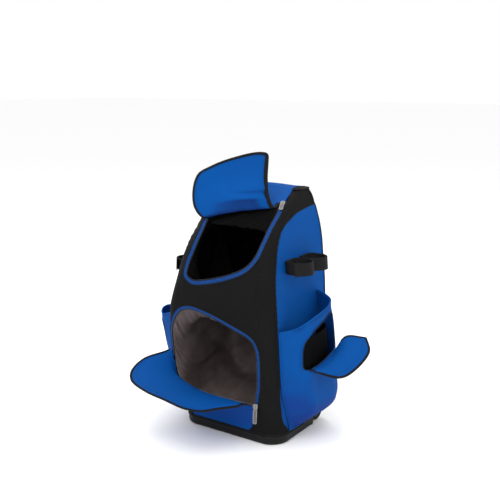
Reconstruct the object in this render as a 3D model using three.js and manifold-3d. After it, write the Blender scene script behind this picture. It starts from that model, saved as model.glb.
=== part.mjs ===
import * as THREE from 'three';
import { mergeVertices } from 'three/addons/utils/BufferGeometryUtils.js';
import Module from 'manifold-3d';

// An upright wheeled kit bag: a cloth body on a moulded base, shown with its lid, its shoe door
// and its right side pocket open. Millimetres, +Z up, front towards -Y, origin on the floor
// under the middle of the base.

const CLOTH = 2.4;           // wall of the coated cloth
const LINING = 1.2;          // wall of the lining and of the zip tapes
const GAP = 0.4;             // kept between neighbouring pieces
const SEAM = 1.4;            // between the rear and side panels
const EAVE = 648.4;          // top of the upright panels, under the crown
const BASE_TOP = 24;         // front edge of the moulded base
const HOUSING_TOP = 70;      // its raised rear edge, over the wheels
const HEM = 0.6;             // from the base up to the cloth
const STEP = 1.8;            // more of it where the base's edge rises beside the wheels
const BASE_WALL = 3.2;
const CROWN = 652;           // height where the top panel turns flat
const CROWN_RISE = 8;        // how far the top panel is domed
const BACK_RADIUS = 15;      // rear corners of the body
const SHELF = 364;           // floor of the main compartment
const WHEEL = { radius: 31, hub: 19, bore: 4.6, width: 32, x: 137, y: 101 };
const AXLE = 4;
const HANDLE = { spread: 44, radius: 6.5, y: 137.5, bottom: 92, top: 566, grip: 22 };
const CHANNEL = { half: 60, deep: 20, bottom: 84, top: 552, bore: 7.2 };
const STRAP = { inner: 30, wall: 2, low: 459, high: 491, front: -58, rear: 14, reach: 0.86 };
const STRAP_LEFT = { ...STRAP, low: 425, high: 457, reach: 0.36 };

const BLUE = 0x0b55a8, BLACK = 0x232325, MOULDED = 0x1b1b1d, GREY = 0x8f8c8c, SATIN = 0x372e2c;

// Horizontal sections of the body: straight front and sides, rounded front corners.
const BODY = [
  // z, front, back, half width, front corner radius
  [0, -116, 116, 159, 52], [24, -116, 117, 159.5, 52], [90, -136, 120, 163, 47],
  [160, -158, 122, 166, 42], [260, -168, 124, 167, 39], [360, -172, 125, 163, 38],
  [440, -170, 126, 158, 38], [510, -151, 126, 151, 35], [560, -114, 126, 142, 32],
  [600, -58, 125, 132, 30], [630, 4, 122, 121, 27], [652, 56, 118, 109, 22],
];
// Inner edge of the right corner band: height, distance across from the middle.
const BAND_EDGE = [
  [0, 50], [24, 58], [45, 75], [64, 91], [96, 104], [112, 109.6], [140, 119.6], [184, 132.4],
  [230, 136], [274, 135.4], [300, 132], [312, 130], [406, 129], [480, 127.5], [507, 125.4], [538, 128.4],
  [570, 128.2], [604, 123.4], [628, 108.5], [652, 92],
];
// Middle of the main zip, from the left end of the lid's fold round to the right end.
const MAIN_EDGE = [
  // across, height
  [-84, 578], [-79, 556], [-81, 512], [-92, 465], [-95, 438], [-72, 423], [-26, 429],
  [45, 451], [94, 477], [118, 507], [123, 538], [122, 570], [116, 604], [100, 627],
];
// Middle of the shoe door's zip, from its lower right end over the top to its left end.
const DOOR_EDGE = [
  [104, 112], [113, 140], [126, 184], [128.5, 268], [114, 300], [52, 325], [-23, 347],
  [-84, 354], [-115, 343], [-136, 316], [-151, 277], [-152, 243], [-150, 205],
];
// Rest of the shoe door's outline, down the left side and along the base.
const DOOR_FOOT = [
  [-147, 160], [-140, 110], [-130, 60], [-112, 24], [-90, 6], [0, 4], [40, 8], [72, 42],
  [90, 72], [98, 92],
];
// Shoe flap, from its left end to its right end.
const SHOE_FLAP = [
  // hinge across, hinge height, crest x y z, free edge x y z
  [-145, 142, -164, -147, 182, -184, -152, 200], [-133, 128, -151, -159, 166, -214, -200, 191],
  [-112, 119, -122, -167, 151, -205, -262, 184], [-80, 113, -88, -169, 139, -172, -298, 173],
  [-45, 110, -54, -169, 131, -120, -305, 159], [-10, 109, -14, -168, 127, -62, -302, 149],
  [30, 109, 27, -166, 126, 0, -297, 138], [60, 109, 58, -164, 125, 36, -274, 131],
  [80, 110, 80, -162, 124, 56, -228, 126], [93, 111, 94, -160, 123, 84, -186, 124],
];
// Lid, in rows from the roll beyond its hinge to its free top edge.
const LID = [
  // left x y z, middle x y z, right x y z
  [-89, -105, 580, 2, -71, 600, 94, -29, 611], [-114, -107, 606, -16, -73, 626, 79, -33, 636],
  [-124, -99, 650, -25, -68, 668, 70, -29, 684], [-113, -91, 690, -21, -63, 709, 70, -26, 726],
  [-84, -79, 711, -14, -58, 741, 72, -25, 764],
];
// Left shoulder, which has sunk in beside the open lid along a diagonal across the front corner.
const SINK_WAY = [Math.cos(0.6), Math.sin(0.6)];
const SINK = [
  // height, diagonal place where the sinking starts, share that is lost beyond it
  [350, -178, 0], [395, -178, 0.27], [438, -176, 0.6], [465, -171, 0.76], [512, -154, 0.8], [556, -133, 0.92],
  [578, -122, 0.9], [600, -104, 0.8], [630, -66, 0.5], [652, -30, 0.2],
];
// Side pouch: how far its plan has swung out, and where along the side.
const POUCH_PLAN = [
  // from the front seam, from the rear corner (0 or 1 picks one), swing
  [2, 0, 0], [13, 0, 0.28], [28, 0, 0.64], [46, 0, 0.91], [76, 0, 1], [-36, 1, 1],
  [-9, 1, 0.88], [9, 1, 0.5], [22, 1, 0],
];
const POUCH_DEPTH = [
  // z, swing, rear corner y
  [34, 4, 102], [50, 18, 99], [70, 37, 96], [92, 52, 91], [124, 62, 85], [200, 65, 73],
  [300, 65, 57], [390, 62, 44],
];
const POUCH_RIM = [
  // share of the way round, z
  [0, 320], [0.12, 324], [0.25, 332], [0.38, 345], [0.5, 353], [0.65, 367], [0.8, 378], [1, 387],
];
const POCKET_DOOR = [
  // y, z of the opening in the pouch's outer wall
  [-88, 221], [-94, 250], [-92, 291], [-80, 308], [-53, 321], [-14, 334], [20, 344], [37, 336],
  [42, 300], [42, 262], [37, 245], [10, 238], [-25, 230], [-60, 224],
];
const POCKET_FLAP = [
  // hinge y z, free edge x y z
  [-85, 215, 243, -72, 213], [-50, 220, 297, -46, 203], [-12, 228, 315, 4, 213],
  [19, 235, 326, 58, 236], [36, 241, 300, 92, 256],
];
const FULLER = { out: 17, drop: 32 };
// Seam between the black shoulder and the blue side: distance behind the corner, height.
const SHOULDER = [[0, 560], [6, 574], [19, 586], [40, 598], [80, 606], [140, 611]];

const wasm = await Module();
wasm.setup();

const vec = (x, y, z) => new THREE.Vector3(x, y, z);
const mix = (a, b, t) => a + (b - a) * t;
const clamp = (v, lo, hi) => Math.min(hi, Math.max(lo, v));
const ease = (v) => { const t = clamp(v, 0, 1); return t * t * (3 - 2 * t); };

// Monotone cubic through column `col` of a table whose first column rises.
function along(rows, col) {
  const x = rows.map((r) => r[0]), y = rows.map((r) => r[col]), n = x.length;
  const h = x.slice(1).map((v, i) => v - x[i]);
  const d = h.map((v, i) => (y[i + 1] - y[i]) / v);
  const m = y.map((_, i) => {
    if (i === 0) return d[0];
    if (i === n - 1) return d[n - 2];
    if (d[i - 1] * d[i] <= 0) return 0;
    const a = 2 * h[i] + h[i - 1], b = h[i] + 2 * h[i - 1];
    return (a + b) / (a / d[i - 1] + b / d[i]);
  });
  return (q) => {
    const v = clamp(q, x[0], x[n - 1]);
    let i = 0;
    while (i < n - 2 && v > x[i + 1]) i += 1;
    const t = (v - x[i]) / h[i], s = 1 - t;
    return (1 + 2 * t) * s * s * y[i] + t * s * s * h[i] * m[i]
      + t * t * (3 - 2 * t) * y[i + 1] - t * t * s * h[i] * m[i + 1];
  };
}

const [frontAt, backAt, halfAt, radiusAt] = [1, 2, 3, 4].map((c) => along(BODY, c));
const [sinkStart, sinkShare] = [1, 2].map((c) => along(SINK, c));
const bandEdge = along(BAND_EDGE, 1);

// Distances across at which the section turns from front to corner, side, rear corner and back.
function turns(z) {
  const flat = halfAt(z) - radiusAt(z), side = flat + radiusAt(z) * Math.PI / 2;
  const rear = side + backAt(z) - BACK_RADIUS - frontAt(z) - radiusAt(z);
  const back = rear + BACK_RADIUS * Math.PI / 2;
  return { flat, side, rear, back, middle: back + halfAt(z) - BACK_RADIUS };
}

// Point of the body's outer surface, `q` across from the middle of the front and `z` up.
function sunk(p) {
  const past = sinkStart(p.z) - p.x * SINK_WAY[0] - p.y * SINK_WAY[1];
  if (past <= 0 || p.z < SINK[0][0]) return p;
  const push = sinkShare(p.z) * past * past / (past + 10);
  return p.add(vec(push * SINK_WAY[0], push * SINK_WAY[1], 0));
}
function body(q, z) {
  const t = turns(z), d = Math.abs(q), s = q < 0 ? -1 : 1;
  const half = halfAt(z), r = radiusAt(z), front = frontAt(z), back = backAt(z);
  let x = d, y = front;
  if (d > t.back) [x, y] = [half - BACK_RADIUS - (d - t.back), back];
  else if (d > t.rear) {
    const a = (d - t.rear) / BACK_RADIUS;
    [x, y] = [half - BACK_RADIUS * (1 - Math.cos(a)), back - BACK_RADIUS * (1 - Math.sin(a))];
  } else if (d > t.side) [x, y] = [half, front + r + d - t.side];
  else if (d > t.flat) {
    const a = (d - t.flat) / r;
    [x, y] = [t.flat + r * Math.sin(a), front + r * (1 - Math.cos(a))];
  }
  return sunk(vec(s * x, y, z));
}

// Outward normal of a surface given by a function of two numbers.
function normalOf(fn, a, b, step) {
  const da = fn(a + step, b).sub(fn(a - step, b)), db = fn(a, b + step).sub(fn(a, b - step));
  return da.cross(db).normalize();
}

function geometry(points, faces) {
  const g = new THREE.BufferGeometry();
  g.setAttribute('position', new THREE.Float32BufferAttribute(points.flatMap((p) => [p.x, p.y, p.z]), 3));
  g.setIndex(faces);
  return g;
}

// Closed sheet over the unit square: outer points fn(a, b), inner points `wall` behind them.
function sheet(fn, na, nb, wall, { lift = 0, ring = false } = {}) {
  const points = [], faces = [], cols = ring ? na : na + 1, rows = nb + 1, step = 1e-3;
  for (const off of [lift, lift - wall]) {
    for (let j = 0; j < rows; j += 1) {
      for (let i = 0; i < cols; i += 1) {
        const a = i / na, b = j / nb;
        const n = normalOf(fn, ring ? a : clamp(a, step, 1 - step), clamp(b, step, 1 - step), step);
        points.push(fn(a, b).addScaledVector(n, off));
      }
    }
  }
  const out = (i, j) => j * cols + (i % cols), inn = (i, j) => out(i, j) + rows * cols;
  const quad = (p, q, r, s) => faces.push(p, q, r, p, r, s);
  for (let j = 0; j < nb; j += 1) {
    for (let i = 0; i < na; i += 1) {
      quad(out(i, j), out(i + 1, j), out(i + 1, j + 1), out(i, j + 1));
      quad(inn(i, j), inn(i, j + 1), inn(i + 1, j + 1), inn(i + 1, j));
    }
    if (!ring) {
      quad(out(0, j), out(0, j + 1), inn(0, j + 1), inn(0, j));
      quad(out(na, j + 1), out(na, j), inn(na, j), inn(na, j + 1));
    }
  }
  for (let i = 0; i < na; i += 1) {
    quad(inn(i, 0), inn(i + 1, 0), out(i + 1, 0), out(i, 0));
    quad(inn(i + 1, nb), inn(i, nb), out(i, nb), out(i + 1, nb));
  }
  return geometry(points, faces);
}

// Solid between stacked rings of equal length, closed by a fan at each end.
function loft(rings) {
  const n = rings[0].length, points = rings.flat(), faces = [];
  const middle = (ring) => ring.reduce((s, p) => s.add(p), vec(0, 0, 0)).divideScalar(n);
  rings.slice(1).forEach((_, k) => {
    for (let i = 0; i < n; i += 1) {
      const a = k * n + i, b = k * n + (i + 1) % n;
      faces.push(a, b, b + n, a, b + n, a + n);
    }
  });
  const foot = points.push(middle(rings[0])) - 1, head = points.push(middle(rings.at(-1))) - 1;
  const last = (rings.length - 1) * n;
  for (let i = 0; i < n; i += 1) {
    faces.push(foot, (i + 1) % n, i, head, last + i, last + (i + 1) % n);
  }
  return geometry(points, faces);
}

// Edge binding of a flap: a thicker strip between two lines of (a, b) places on its surface.
function binding(fn, inner, outer) {
  const n = inner.length - 1;
  return sheet((s, v) => {
    const k = clamp(Math.floor(s * n), 0, n - 1), t = s * n - k;
    const at = (row) => [0, 1].map((c) => mix(row[k][c], row[k + 1][c], t));
    const [p, q] = [at(inner), at(outer)];
    return fn(mix(p[0], q[0], v), mix(p[1], q[1], v));
  }, n, 1, CLOTH + 1.6, { lift: 0.8 });
}

// Solid between two offsets of a surface, inside a closed star-shaped outline.
function plug(fn, outline, rings, outer, inner) {
  const n = outline.length;
  const [ca, cb] = [0, 1].map((k) => outline.reduce((s, p) => s + p[k], 0) / n);
  const layer = (off) => {
    const at = (a, b) => fn(a, b).addScaledVector(normalOf(fn, a, b, 0.5), off);
    const pts = [at(ca, cb)];
    for (let r = 1; r <= rings; r += 1) {
      outline.forEach(([a, b]) => pts.push(at(mix(ca, a, r / rings), mix(cb, b, r / rings))));
    }
    return pts;
  };
  const top = layer(outer), low = layer(inner), m = top.length, faces = [];
  const id = (r, i) => 1 + (r - 1) * n + i % n;
  for (let i = 0; i < n; i += 1) {
    faces.push(0, id(1, i), id(1, i + 1), m, m + id(1, i + 1), m + id(1, i));
    for (let r = 1; r < rings; r += 1) {
      const [a, b, c, d] = [id(r, i), id(r + 1, i), id(r + 1, i + 1), id(r, i + 1)];
      faces.push(a, b, c, a, c, d, m + a, m + c, m + b, m + a, m + d, m + c);
    }
    const [a, b] = [id(rings, i), id(rings, i + 1)];
    faces.push(a, m + a, m + b, a, m + b, b);
  }
  return geometry([...top, ...low], faces);
}

const bare = (g) => {
  const c = g.clone();
  c.deleteAttribute('normal');
  c.deleteAttribute('uv');
  return mergeVertices(c, 1e-4);
};
const solid = (g) => {
  const c = bare(g);
  return new wasm.Manifold(new wasm.Mesh({
    numProp: 3, vertProperties: new Float32Array(c.attributes.position.array),
    triVerts: new Uint32Array(c.index.array),
  }));
};
const faceted = (s) => {
  const m = s.getMesh(), g = new THREE.BufferGeometry();
  g.setAttribute('position', new THREE.BufferAttribute(new Float32Array(m.vertProperties), 3));
  g.setIndex([...m.triVerts]);
  return g;
};
const cut = (g, ...tools) => faceted(tools.reduce((s, t) => s.subtract(solid(t)), solid(g)));
const join = (g, ...more) => faceted(more.reduce((s, t) => s.add(solid(t)), solid(g)));

// The same piece on the other side of the bag.
function mirrored(g) {
  const c = bare(g);
  c.scale(-1, 1, 1);
  const i = c.index.array;
  for (let k = 0; k < i.length; k += 3) [i[k], i[k + 1]] = [i[k + 1], i[k]];
  return c;
}

const box = (x0, x1, y0, y1, z0, z1) => new THREE.BoxGeometry(x1 - x0, y1 - y0, z1 - z0)
  .translate((x0 + x1) / 2, (y0 + y1) / 2, (z0 + z1) / 2);
const pin = (r, x0, x1, y, z, sides = 20) => new THREE.CylinderGeometry(r, r, x1 - x0, sides)
  .rotateZ(Math.PI / 2).translate((x0 + x1) / 2, y, z);

const bag = new THREE.Group();
function add(name, g, color, roughness = 0.85, metalness = 0) {
  const mesh = new THREE.Mesh(g, new THREE.MeshStandardMaterial({ color, roughness, metalness }));
  mesh.name = name;
  bag.add(mesh);
}

// Lower edge of the cloth: level at the front, stepped up over the wheels at the rear.
function hem(q, z = 60) {
  const t = turns(z), d = clamp((Math.abs(q) - t.side - 66) / 60, 0, 1);
  return mix(BASE_TOP, HOUSING_TOP, d * d * (3 - 2 * d)) + HEM;
}

// Length along the front's profile, so that offsets keep their width on the sloping hood.
const PROFILE = Array.from({ length: 327 }, (_, i) => i * 2);
const reach = [0];
PROFILE.slice(1).forEach((z, i) => reach.push(reach[i] + Math.hypot(2, frontAt(z) - frontAt(z - 2))));
const lengthAt = (z) => mix(reach[Math.floor(z / 2)], reach[Math.min(326, Math.floor(z / 2) + 1)], z / 2 % 1);
function heightAt(s) {
  let i = 0;
  while (i < 325 && reach[i + 1] < s) i += 1;
  return clamp(2 * (i + (s - reach[i]) / (reach[i + 1] - reach[i])), 0.5, CROWN - 0.5);
}

// Smooth line through (across, height) rows, with an offset to its left in millimetres.
function edgeLine(rows) {
  const line = new THREE.CatmullRomCurve3(rows.map(([q, z]) => vec(q, lengthAt(z), 0)), false, 'centripetal');
  return (t, off = 0) => {
    const p = line.getPointAt(clamp(t, 0, 1)), d = line.getTangentAt(clamp(t, 0, 1));
    return [p.x - off * d.y, heightAt(p.y + off * d.x)];
  };
}
const mainEdge = edgeLine(MAIN_EDGE), doorEdge = edgeLine(DOOR_EDGE);
const sampled = (edge, n, off) => Array.from({ length: n + 1 }, (_, i) => edge(i / n, off));

// Moulded base: a tray with a raised rear, and a well for each wheel.
function baseRing(inset, height) {
  const n = 44, t = turns(12), pts = [];
  for (let i = 0; i < n; i += 1) {
    const q = t.middle * (2 * (i + 0.5) / n - 1), p = body(q, 12);
    const out = normalOf((a, b) => body(a, b), q, 12, 0.3);
    pts.push(p.addScaledVector(out, -inset).setZ(height === null ? hem(q) - HEM : height));
  }
  return pts;
}
const tray = loft([baseRing(6, 0), baseRing(1.6, 2.4), baseRing(0, 7), baseRing(0, null)]);
const trayHollow = loft([
  baseRing(BASE_WALL + 2, BASE_WALL), baseRing(BASE_WALL, 8),
  baseRing(BASE_WALL, null).map((p) => p.setZ(p.z + 3)),
]);
const wellX = WHEEL.x - WHEEL.width / 2 - 2;
const wells = [1, -1].map((s) => {
  const g = box(wellX, 175, WHEEL.y - WHEEL.radius - 3, 140, -5, 2 * WHEEL.radius + 4);
  return s > 0 ? g : mirrored(g);
});
const housings = [1, -1].map((s) => {
  const g = box(wellX - BASE_WALL, 190, WHEEL.y - WHEEL.radius - 3 - BASE_WALL, 150, 0.5, HOUSING_TOP - 0.5);
  return s > 0 ? g : mirrored(g);
});
const trayOuter = solid(tray);
let base = trayOuter.subtract(solid(trayHollow));
housings.forEach((h) => { base = base.add(solid(h).intersect(trayOuter)); });
for (const w of [...wells, pin(AXLE + GAP, -130, 130, WHEEL.y, WHEEL.radius)]) base = base.subtract(solid(w));
add('base_tub', faceted(base), MOULDED, 0.6);

// Wheels: a tyre on a dished hub, turning on a stub axle.
function spun(profile, sides = 16) {
  const pts = [...profile, profile[0]].map(([r, x]) => new THREE.Vector2(r, x));
  return bare(new THREE.LatheGeometry(pts, sides)).rotateZ(-Math.PI / 2)
    .translate(WHEEL.x, WHEEL.y, WHEEL.radius);
}
const w2 = WHEEL.width / 2;
const tyre = spun([
  [WHEEL.hub + GAP, -w2 + 2], [WHEEL.radius - 4, -w2], [WHEEL.radius - 1, -w2 + 4], [WHEEL.radius, -5],
  [WHEEL.radius, 5], [WHEEL.radius - 1, w2 - 4], [WHEEL.radius - 4, w2], [WHEEL.hub + GAP, w2 - 2],
]);
const hub = spun([
  [WHEEL.bore, -w2 + 1], [8, -w2 + 1], [WHEEL.hub, -w2 + 3], [WHEEL.hub, w2 - 3], [16, w2 - 3],
  [14, w2 - 7], [10, w2 - 7], [8, w2 - 1], [WHEEL.bore, w2 - 1],
]);
const axle = join(
  pin(AXLE, wellX - BASE_WALL - 5, WHEEL.x + w2 + 1, WHEEL.y, WHEEL.radius, 12),
  pin(7, wellX - BASE_WALL - 8, wellX - BASE_WALL - GAP, WHEEL.y, WHEEL.radius, 12),
  pin(7, WHEEL.x + w2 + GAP, WHEEL.x + w2 + 4, WHEEL.y, WHEEL.radius, 12),
);
for (const [side, g] of [['right', (v) => bare(v)], ['left', mirrored]]) {
  add(`wheel_${side}_tyre`, g(tyre), 0x151516, 0.9);
  add(`wheel_${side}_hub`, g(hub), 0x4a4a4c, 0.5);
  add(`axle_${side}`, g(axle), GREY, 0.35, 0.8);
}

// Top of the body: from the front edge of the crown to the back edge, gently domed.
function crown(q, v) {
  const p = body(q, CROWN), x = Math.abs(p.x);
  const end = vec(p.x, backAt(CROWN), CROWN);
  const rise = CROWN_RISE * (1 - (x / halfAt(CROWN)) ** 2) * Math.sin(Math.PI * clamp(v, 0, 1) ** 0.8);
  return p.lerp(end, v).add(vec(0, 0, rise));
}

// Front panel, round both openings and over the left corner.
const shoulderBack = along(SHOULDER.map(([d, z]) => [z, d]), 1), sideTop = along(SHOULDER, 1);
const bandBack = (z) => {
  const t = turns(z);
  return Math.min(t.side - GAP + (z > 560 ? shoulderBack(z) : 0), t.rear - SEAM);
};
const frontLeft = (z) => -bandBack(z);
const frontGrid = (a, b) => {
  const z = mix(BASE_TOP + HEM, EAVE, b);
  return body(mix(frontLeft(z), bandEdge(z) - GAP, a), z);
};
const topLeft = (z) => mix(-90, -84, clamp((z - 578) / 74, 0, 1));
const past = (t) => clamp(t * 20, 0, 1) * 4;
const mainHole = [
  ...Array.from({ length: 33 }, (_, i) => mainEdge(i / 32, -5.4 - past(i / 32 - 0.62))),
  [132, 634], [130, 652], [60, 652], [0, 652], [-50, 652], [topLeft(CROWN), 652], [topLeft(615), 615],
];
const doorHole = [
  ...Array.from({ length: 33 }, (_, i) => doorEdge(i / 32, -5.8 - past(0.31 - i / 32))),
  ...DOOR_FOOT.map(([q, z]) => [q + (q < 0 ? -4.6 : 9), z]),
];
add('front_panel', cut(sheet(frontGrid, 15, 20, CLOTH),
  plug(body, mainHole, 7, 12, -12), plug(body, doorHole, 6, 12, -12)), BLACK);

// Right corner band, between the openings and the side.
const bandGrid = (wider, s = 1) => (a, b) => {
  const z = mix(BASE_TOP + HEM, EAVE, b), k = s > 0 ? a : 1 - a;
  return body(s * mix(bandEdge(z), bandBack(z), k * (1 + wider)), z);
};
add('corner_band', sheet(bandGrid(0), 4, 20, CLOTH), BLACK);

// Blue sides and the plain back.
const sideGrid = (s) => (a, b) => {
  const k = s > 0 ? a : 1 - a, t60 = turns(60), t600 = turns(600), q0 = mix(t60.side, t60.rear, k);
  const z = mix(hem(q0) + STEP, sideTop(k * (t600.rear - t600.side)) + 8, b), t = turns(z);
  return body(s * mix(t.side + GAP, t.rear - SEAM, k), z);
};
for (const [name, s, cols, rows] of [['right', 1, 5, 14], ['left', -1, 6, 18]]) {
  const band = s > 0 ? sheet(bandGrid(0.02), 4, 20, CLOTH + 8, { lift: 4 })
    : sheet(bandGrid(0.045, s), 8, 20, CLOTH + 12, { lift: 6 });
  add(`side_panel_${name}`, bare(cut(sheet(sideGrid(s), cols, rows, CLOTH), band)), BLUE);
}
add('back_panel', sheet((a, b) => {
  const z = mix(HOUSING_TOP + HEM, EAVE, b), t = turns(z), d = Math.abs(2 * a - 1);
  const q = d > 0.4 ? mix(t.back, t.rear, (d - 0.4) / 0.6) : mix(t.middle, t.back, d / 0.4);
  return body(a > 0.5 ? -q : q, z);
}, 10, 7, CLOTH), BLACK);

// Blue top panel, from the lid's fold over the hood and the crown, with a black shoulder each side.
const foldAt = (a) => {
  const [p, q] = [MAIN_EDGE[0], MAIN_EDGE.at(-1)];
  return [mix(p[0] - 3, q[0] + 3, a), heightAt(mix(lengthAt(p[1]), lengthAt(q[1]), a) + GAP + 2)];
};
const HOOD = 0.55;
add('top_panel', sheet((a, b) => {
  const right = bandEdge(CROWN) - GAP, across = mix(topLeft(CROWN) + GAP, right, a);
  if (b > HOOD) return crown(across, mix(0, 0.97, (b - HOOD) / (1 - HOOD)));
  const [q, z] = foldAt(a), t = b / HOOD, h = heightAt(mix(lengthAt(z), lengthAt(CROWN), t));
  const lo = mix(-87, topLeft(h), clamp((h - 578) / 20, 0, 1)) + GAP, hi = bandEdge(h) - GAP;
  return body(clamp(mix(q, across, t), lo, hi), t >= 1 ? CROWN : h);
}, 10, 10, CLOTH), BLUE);
const shoulder = (from, to) => sheet((a, b) => crown(mix(from, to, a), mix(0.02, 0.97, b)), 3, 4, CLOTH);
add('shoulder_right', shoulder(bandEdge(CROWN) + 0.6, turns(CROWN).side - 1), BLACK);
add('shoulder_left', shoulder(-turns(CROWN).side + 1, topLeft(CROWN) - GAP), BLACK);

// Zip tapes along both openings.
add('main_zip_tape', sheet((a, b) => body(...mainEdge(a, mix(-4.6, 4.6, b))), 32, 1, LINING,
  { lift: -0.4 }), 0x0a3f86);
add('shoe_zip_tape', sheet((a, b) => body(...doorEdge(a, mix(-4.2, 4.2, b))), 32, 1, LINING,
  { lift: -0.4 }), 0x0a3f86);

// Lid: rows through three points each, smoothed from the hinge to the free edge.
const onFold = (a, drop) => {
  const [q, z] = foldAt(a);
  return body(q, heightAt(lengthAt(z) - drop));
};
const lidRows = [[0, 0.02], [3, 0.5], [6, 0.97]].map(([k, a]) => new THREE.CatmullRomCurve3(
  [onFold(a, 0.9), ...LID.map((r) => vec(r[k], r[k + 1], r[k + 2]))], false, 'centripetal'));
function lid(a, b) {
  const [l, m, r] = lidRows.map((c) => c.getPoint(clamp(b, 0, 1)));
  const t = a * 2 - 1;
  return l.multiplyScalar(t * (t - 1) / 2).addScaledVector(m, 1 - t * t).addScaledVector(r, t * (t + 1) / 2);
}
const LID_EDGE = { side: 0.036, top: 0.955, from: 3, rows: 10, cols: 10 };
const lidTop = (a) => LID_EDGE.top - 0.05 * Math.abs(2 * a - 1) ** 6;
const lidIn = (a, b) => [mix(LID_EDGE.side, 1 - LID_EDGE.side, a), mix(0, lidTop(a), b)];
add('lid', sheet((a, b) => lid(...lidIn(a, b)), LID_EDGE.cols, LID_EDGE.rows, CLOTH), BLUE);
const lidRim = [];
for (let j = LID_EDGE.from; j < LID_EDGE.rows; j += 1) lidRim.push([0, j / LID_EDGE.rows]);
for (let i = 0; i <= LID_EDGE.cols; i += 1) lidRim.push([i / LID_EDGE.cols, 1]);
for (let j = LID_EDGE.rows - 1; j >= LID_EDGE.from; j -= 1) lidRim.push([1, j / LID_EDGE.rows]);
const outward = (a, b, d, e) => {
  const [p, q] = lidIn(a, b);
  return [p + d * (a === 0 ? -1 : a === 1 ? 1 : 0), q + (b === 1 ? e : 0)];
};
add('lid_binding', binding(lid, lidRim.map(([a, b]) => outward(a, b, 0.006, 0.009)),
  lidRim.map(([a, b]) => outward(a, b, LID_EDGE.side, 0.045))), BLACK);

// Shoe door: a fixed foot panel and a flap folded down from it.
const hinge = new THREE.CatmullRomCurve3(SHOE_FLAP.map((r) => vec(r[0], r[1], 0)), false, 'centripetal');
add('shoe_foot_panel', sheet((a, b) => {
  const h = hinge.getPoint(a), z = mix(BASE_TOP + HEM, h.y - GAP, b);
  const drop = mix(-112, -142, clamp((z - 24) / 118, 0, 1) ** 0.7), right = bandEdge(z) - GAP;
  return body(clamp(mix(mix(-108, 56, a), h.x, b ** 0.6), drop, right), z);
}, 12, 4, CLOTH), BLUE);
const flapRows = [
  SHOE_FLAP.map((r) => body(r[0], r[1] + 1.6).add(vec(0, -1.4, 0))),
  SHOE_FLAP.map((r) => vec(r[2], r[3], r[4])),
  SHOE_FLAP.map((r) => vec(mix(r[2], r[5], 0.5), mix(r[3], r[6], 0.5), mix(r[4], r[7], 0.5) + 4)),
  SHOE_FLAP.map((r) => vec(r[5], r[6], r[7])),
].map((row) => new THREE.CatmullRomCurve3(row, false, 'centripetal'));
function shoeFlap(a, b) {
  const points = flapRows.map((c) => c.getPoint(clamp(a, 0, 1)));
  const line = new THREE.CatmullRomCurve3(points, false, 'centripetal');
  return line.getPoint(clamp(b, 0, 1));
}
// Share of a flap's line that stays clear of the binding at its end.
const BIND = 7;
const clear = (fn, a) => 1 - (BIND + 1) / fn(a, 0.25).distanceTo(fn(a, 1));
const SHOE_COLS = 14;
add('shoe_flap', sheet((a, b) => shoeFlap(1 - a, b * clear(shoeFlap, 1 - a)), SHOE_COLS, 7, CLOTH), BLUE);
const shoeRim = Array.from({ length: SHOE_COLS + 1 }, (_, i) => 1 - i / SHOE_COLS);
add('shoe_flap_binding', binding((a, b) => shoeFlap(1 - a, b),
  shoeRim.map((a) => [a, mix(clear(shoeFlap, 1 - a), 1, 0.24)]), shoeRim.map((a) => [a, 1])), BLACK);

// Shoe compartment's lining and the floor of the main compartment above it.
const inside = (q, z, depth) => body(q, z).addScaledVector(normalOf(body, q, z, 0.4), -depth);
add('shoe_lining', sheet((a, b) => {
  const z = mix(HOUSING_TOP + 6, SHELF - GAP, b), t = turns(z), whole = 2 * t.middle - t.side - t.side - 16;
  const q = t.side + 6 + whole * a;
  return inside(q > t.middle ? q - 2 * t.middle : q, z, 7);
}, 20, 2, LINING), SATIN);
const shelfRing = (depth, z) => Array.from({ length: 40 }, (_, i) => {
  const t = turns(SHELF);
  return inside(t.middle * (2 * (i + 0.5) / 40 - 1), SHELF, depth).setZ(z);
});
add('compartment_floor', loft([shelfRing(CLOTH + 1.6, SHELF), shelfRing(CLOTH + 1.6, SHELF + CLOTH)]), BLACK);

// Side pouches: the outer wall, the pocket let into it, and the wall between pocket and sleeve.
const pouchDepth = along(POUCH_DEPTH, 1), pouchRear = along(POUCH_DEPTH, 2), pouchRim = along(POUCH_RIM, 1);
const POUCH_FOOT = POUCH_DEPTH[0][0];
function pouchWall(w, z) {
  const seam = frontAt(z) + radiusAt(z);
  const line = new THREE.CatmullRomCurve3(POUCH_PLAN.map(([y, end, swing]) => vec(
    halfAt(z) + 3.2 + pouchDepth(z) * swing, y + (end ? pouchRear(z) : seam), z)), false, 'centripetal');
  return line.getPoint(clamp(w, 0, 1));
}
const pouchGrid = (a, b) => pouchWall(a, mix(POUCH_FOOT, pouchRim(a), b));
function prism(rows, x0, x1) {
  const round = new THREE.SplineCurve([...rows, rows[0]].map(([y, z]) => new THREE.Vector2(y, z)));
  const shape = new THREE.Shape(round.getPoints(rows.length * 2).slice(0, -1));
  return new THREE.ExtrudeGeometry(shape, { depth: x1 - x0, bevelEnabled: false })
    .applyMatrix4(new THREE.Matrix4().makeBasis(vec(0, 1, 0), vec(0, 0, 1), vec(1, 0, 0))).translate(x0, 0, 0);
}
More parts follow.
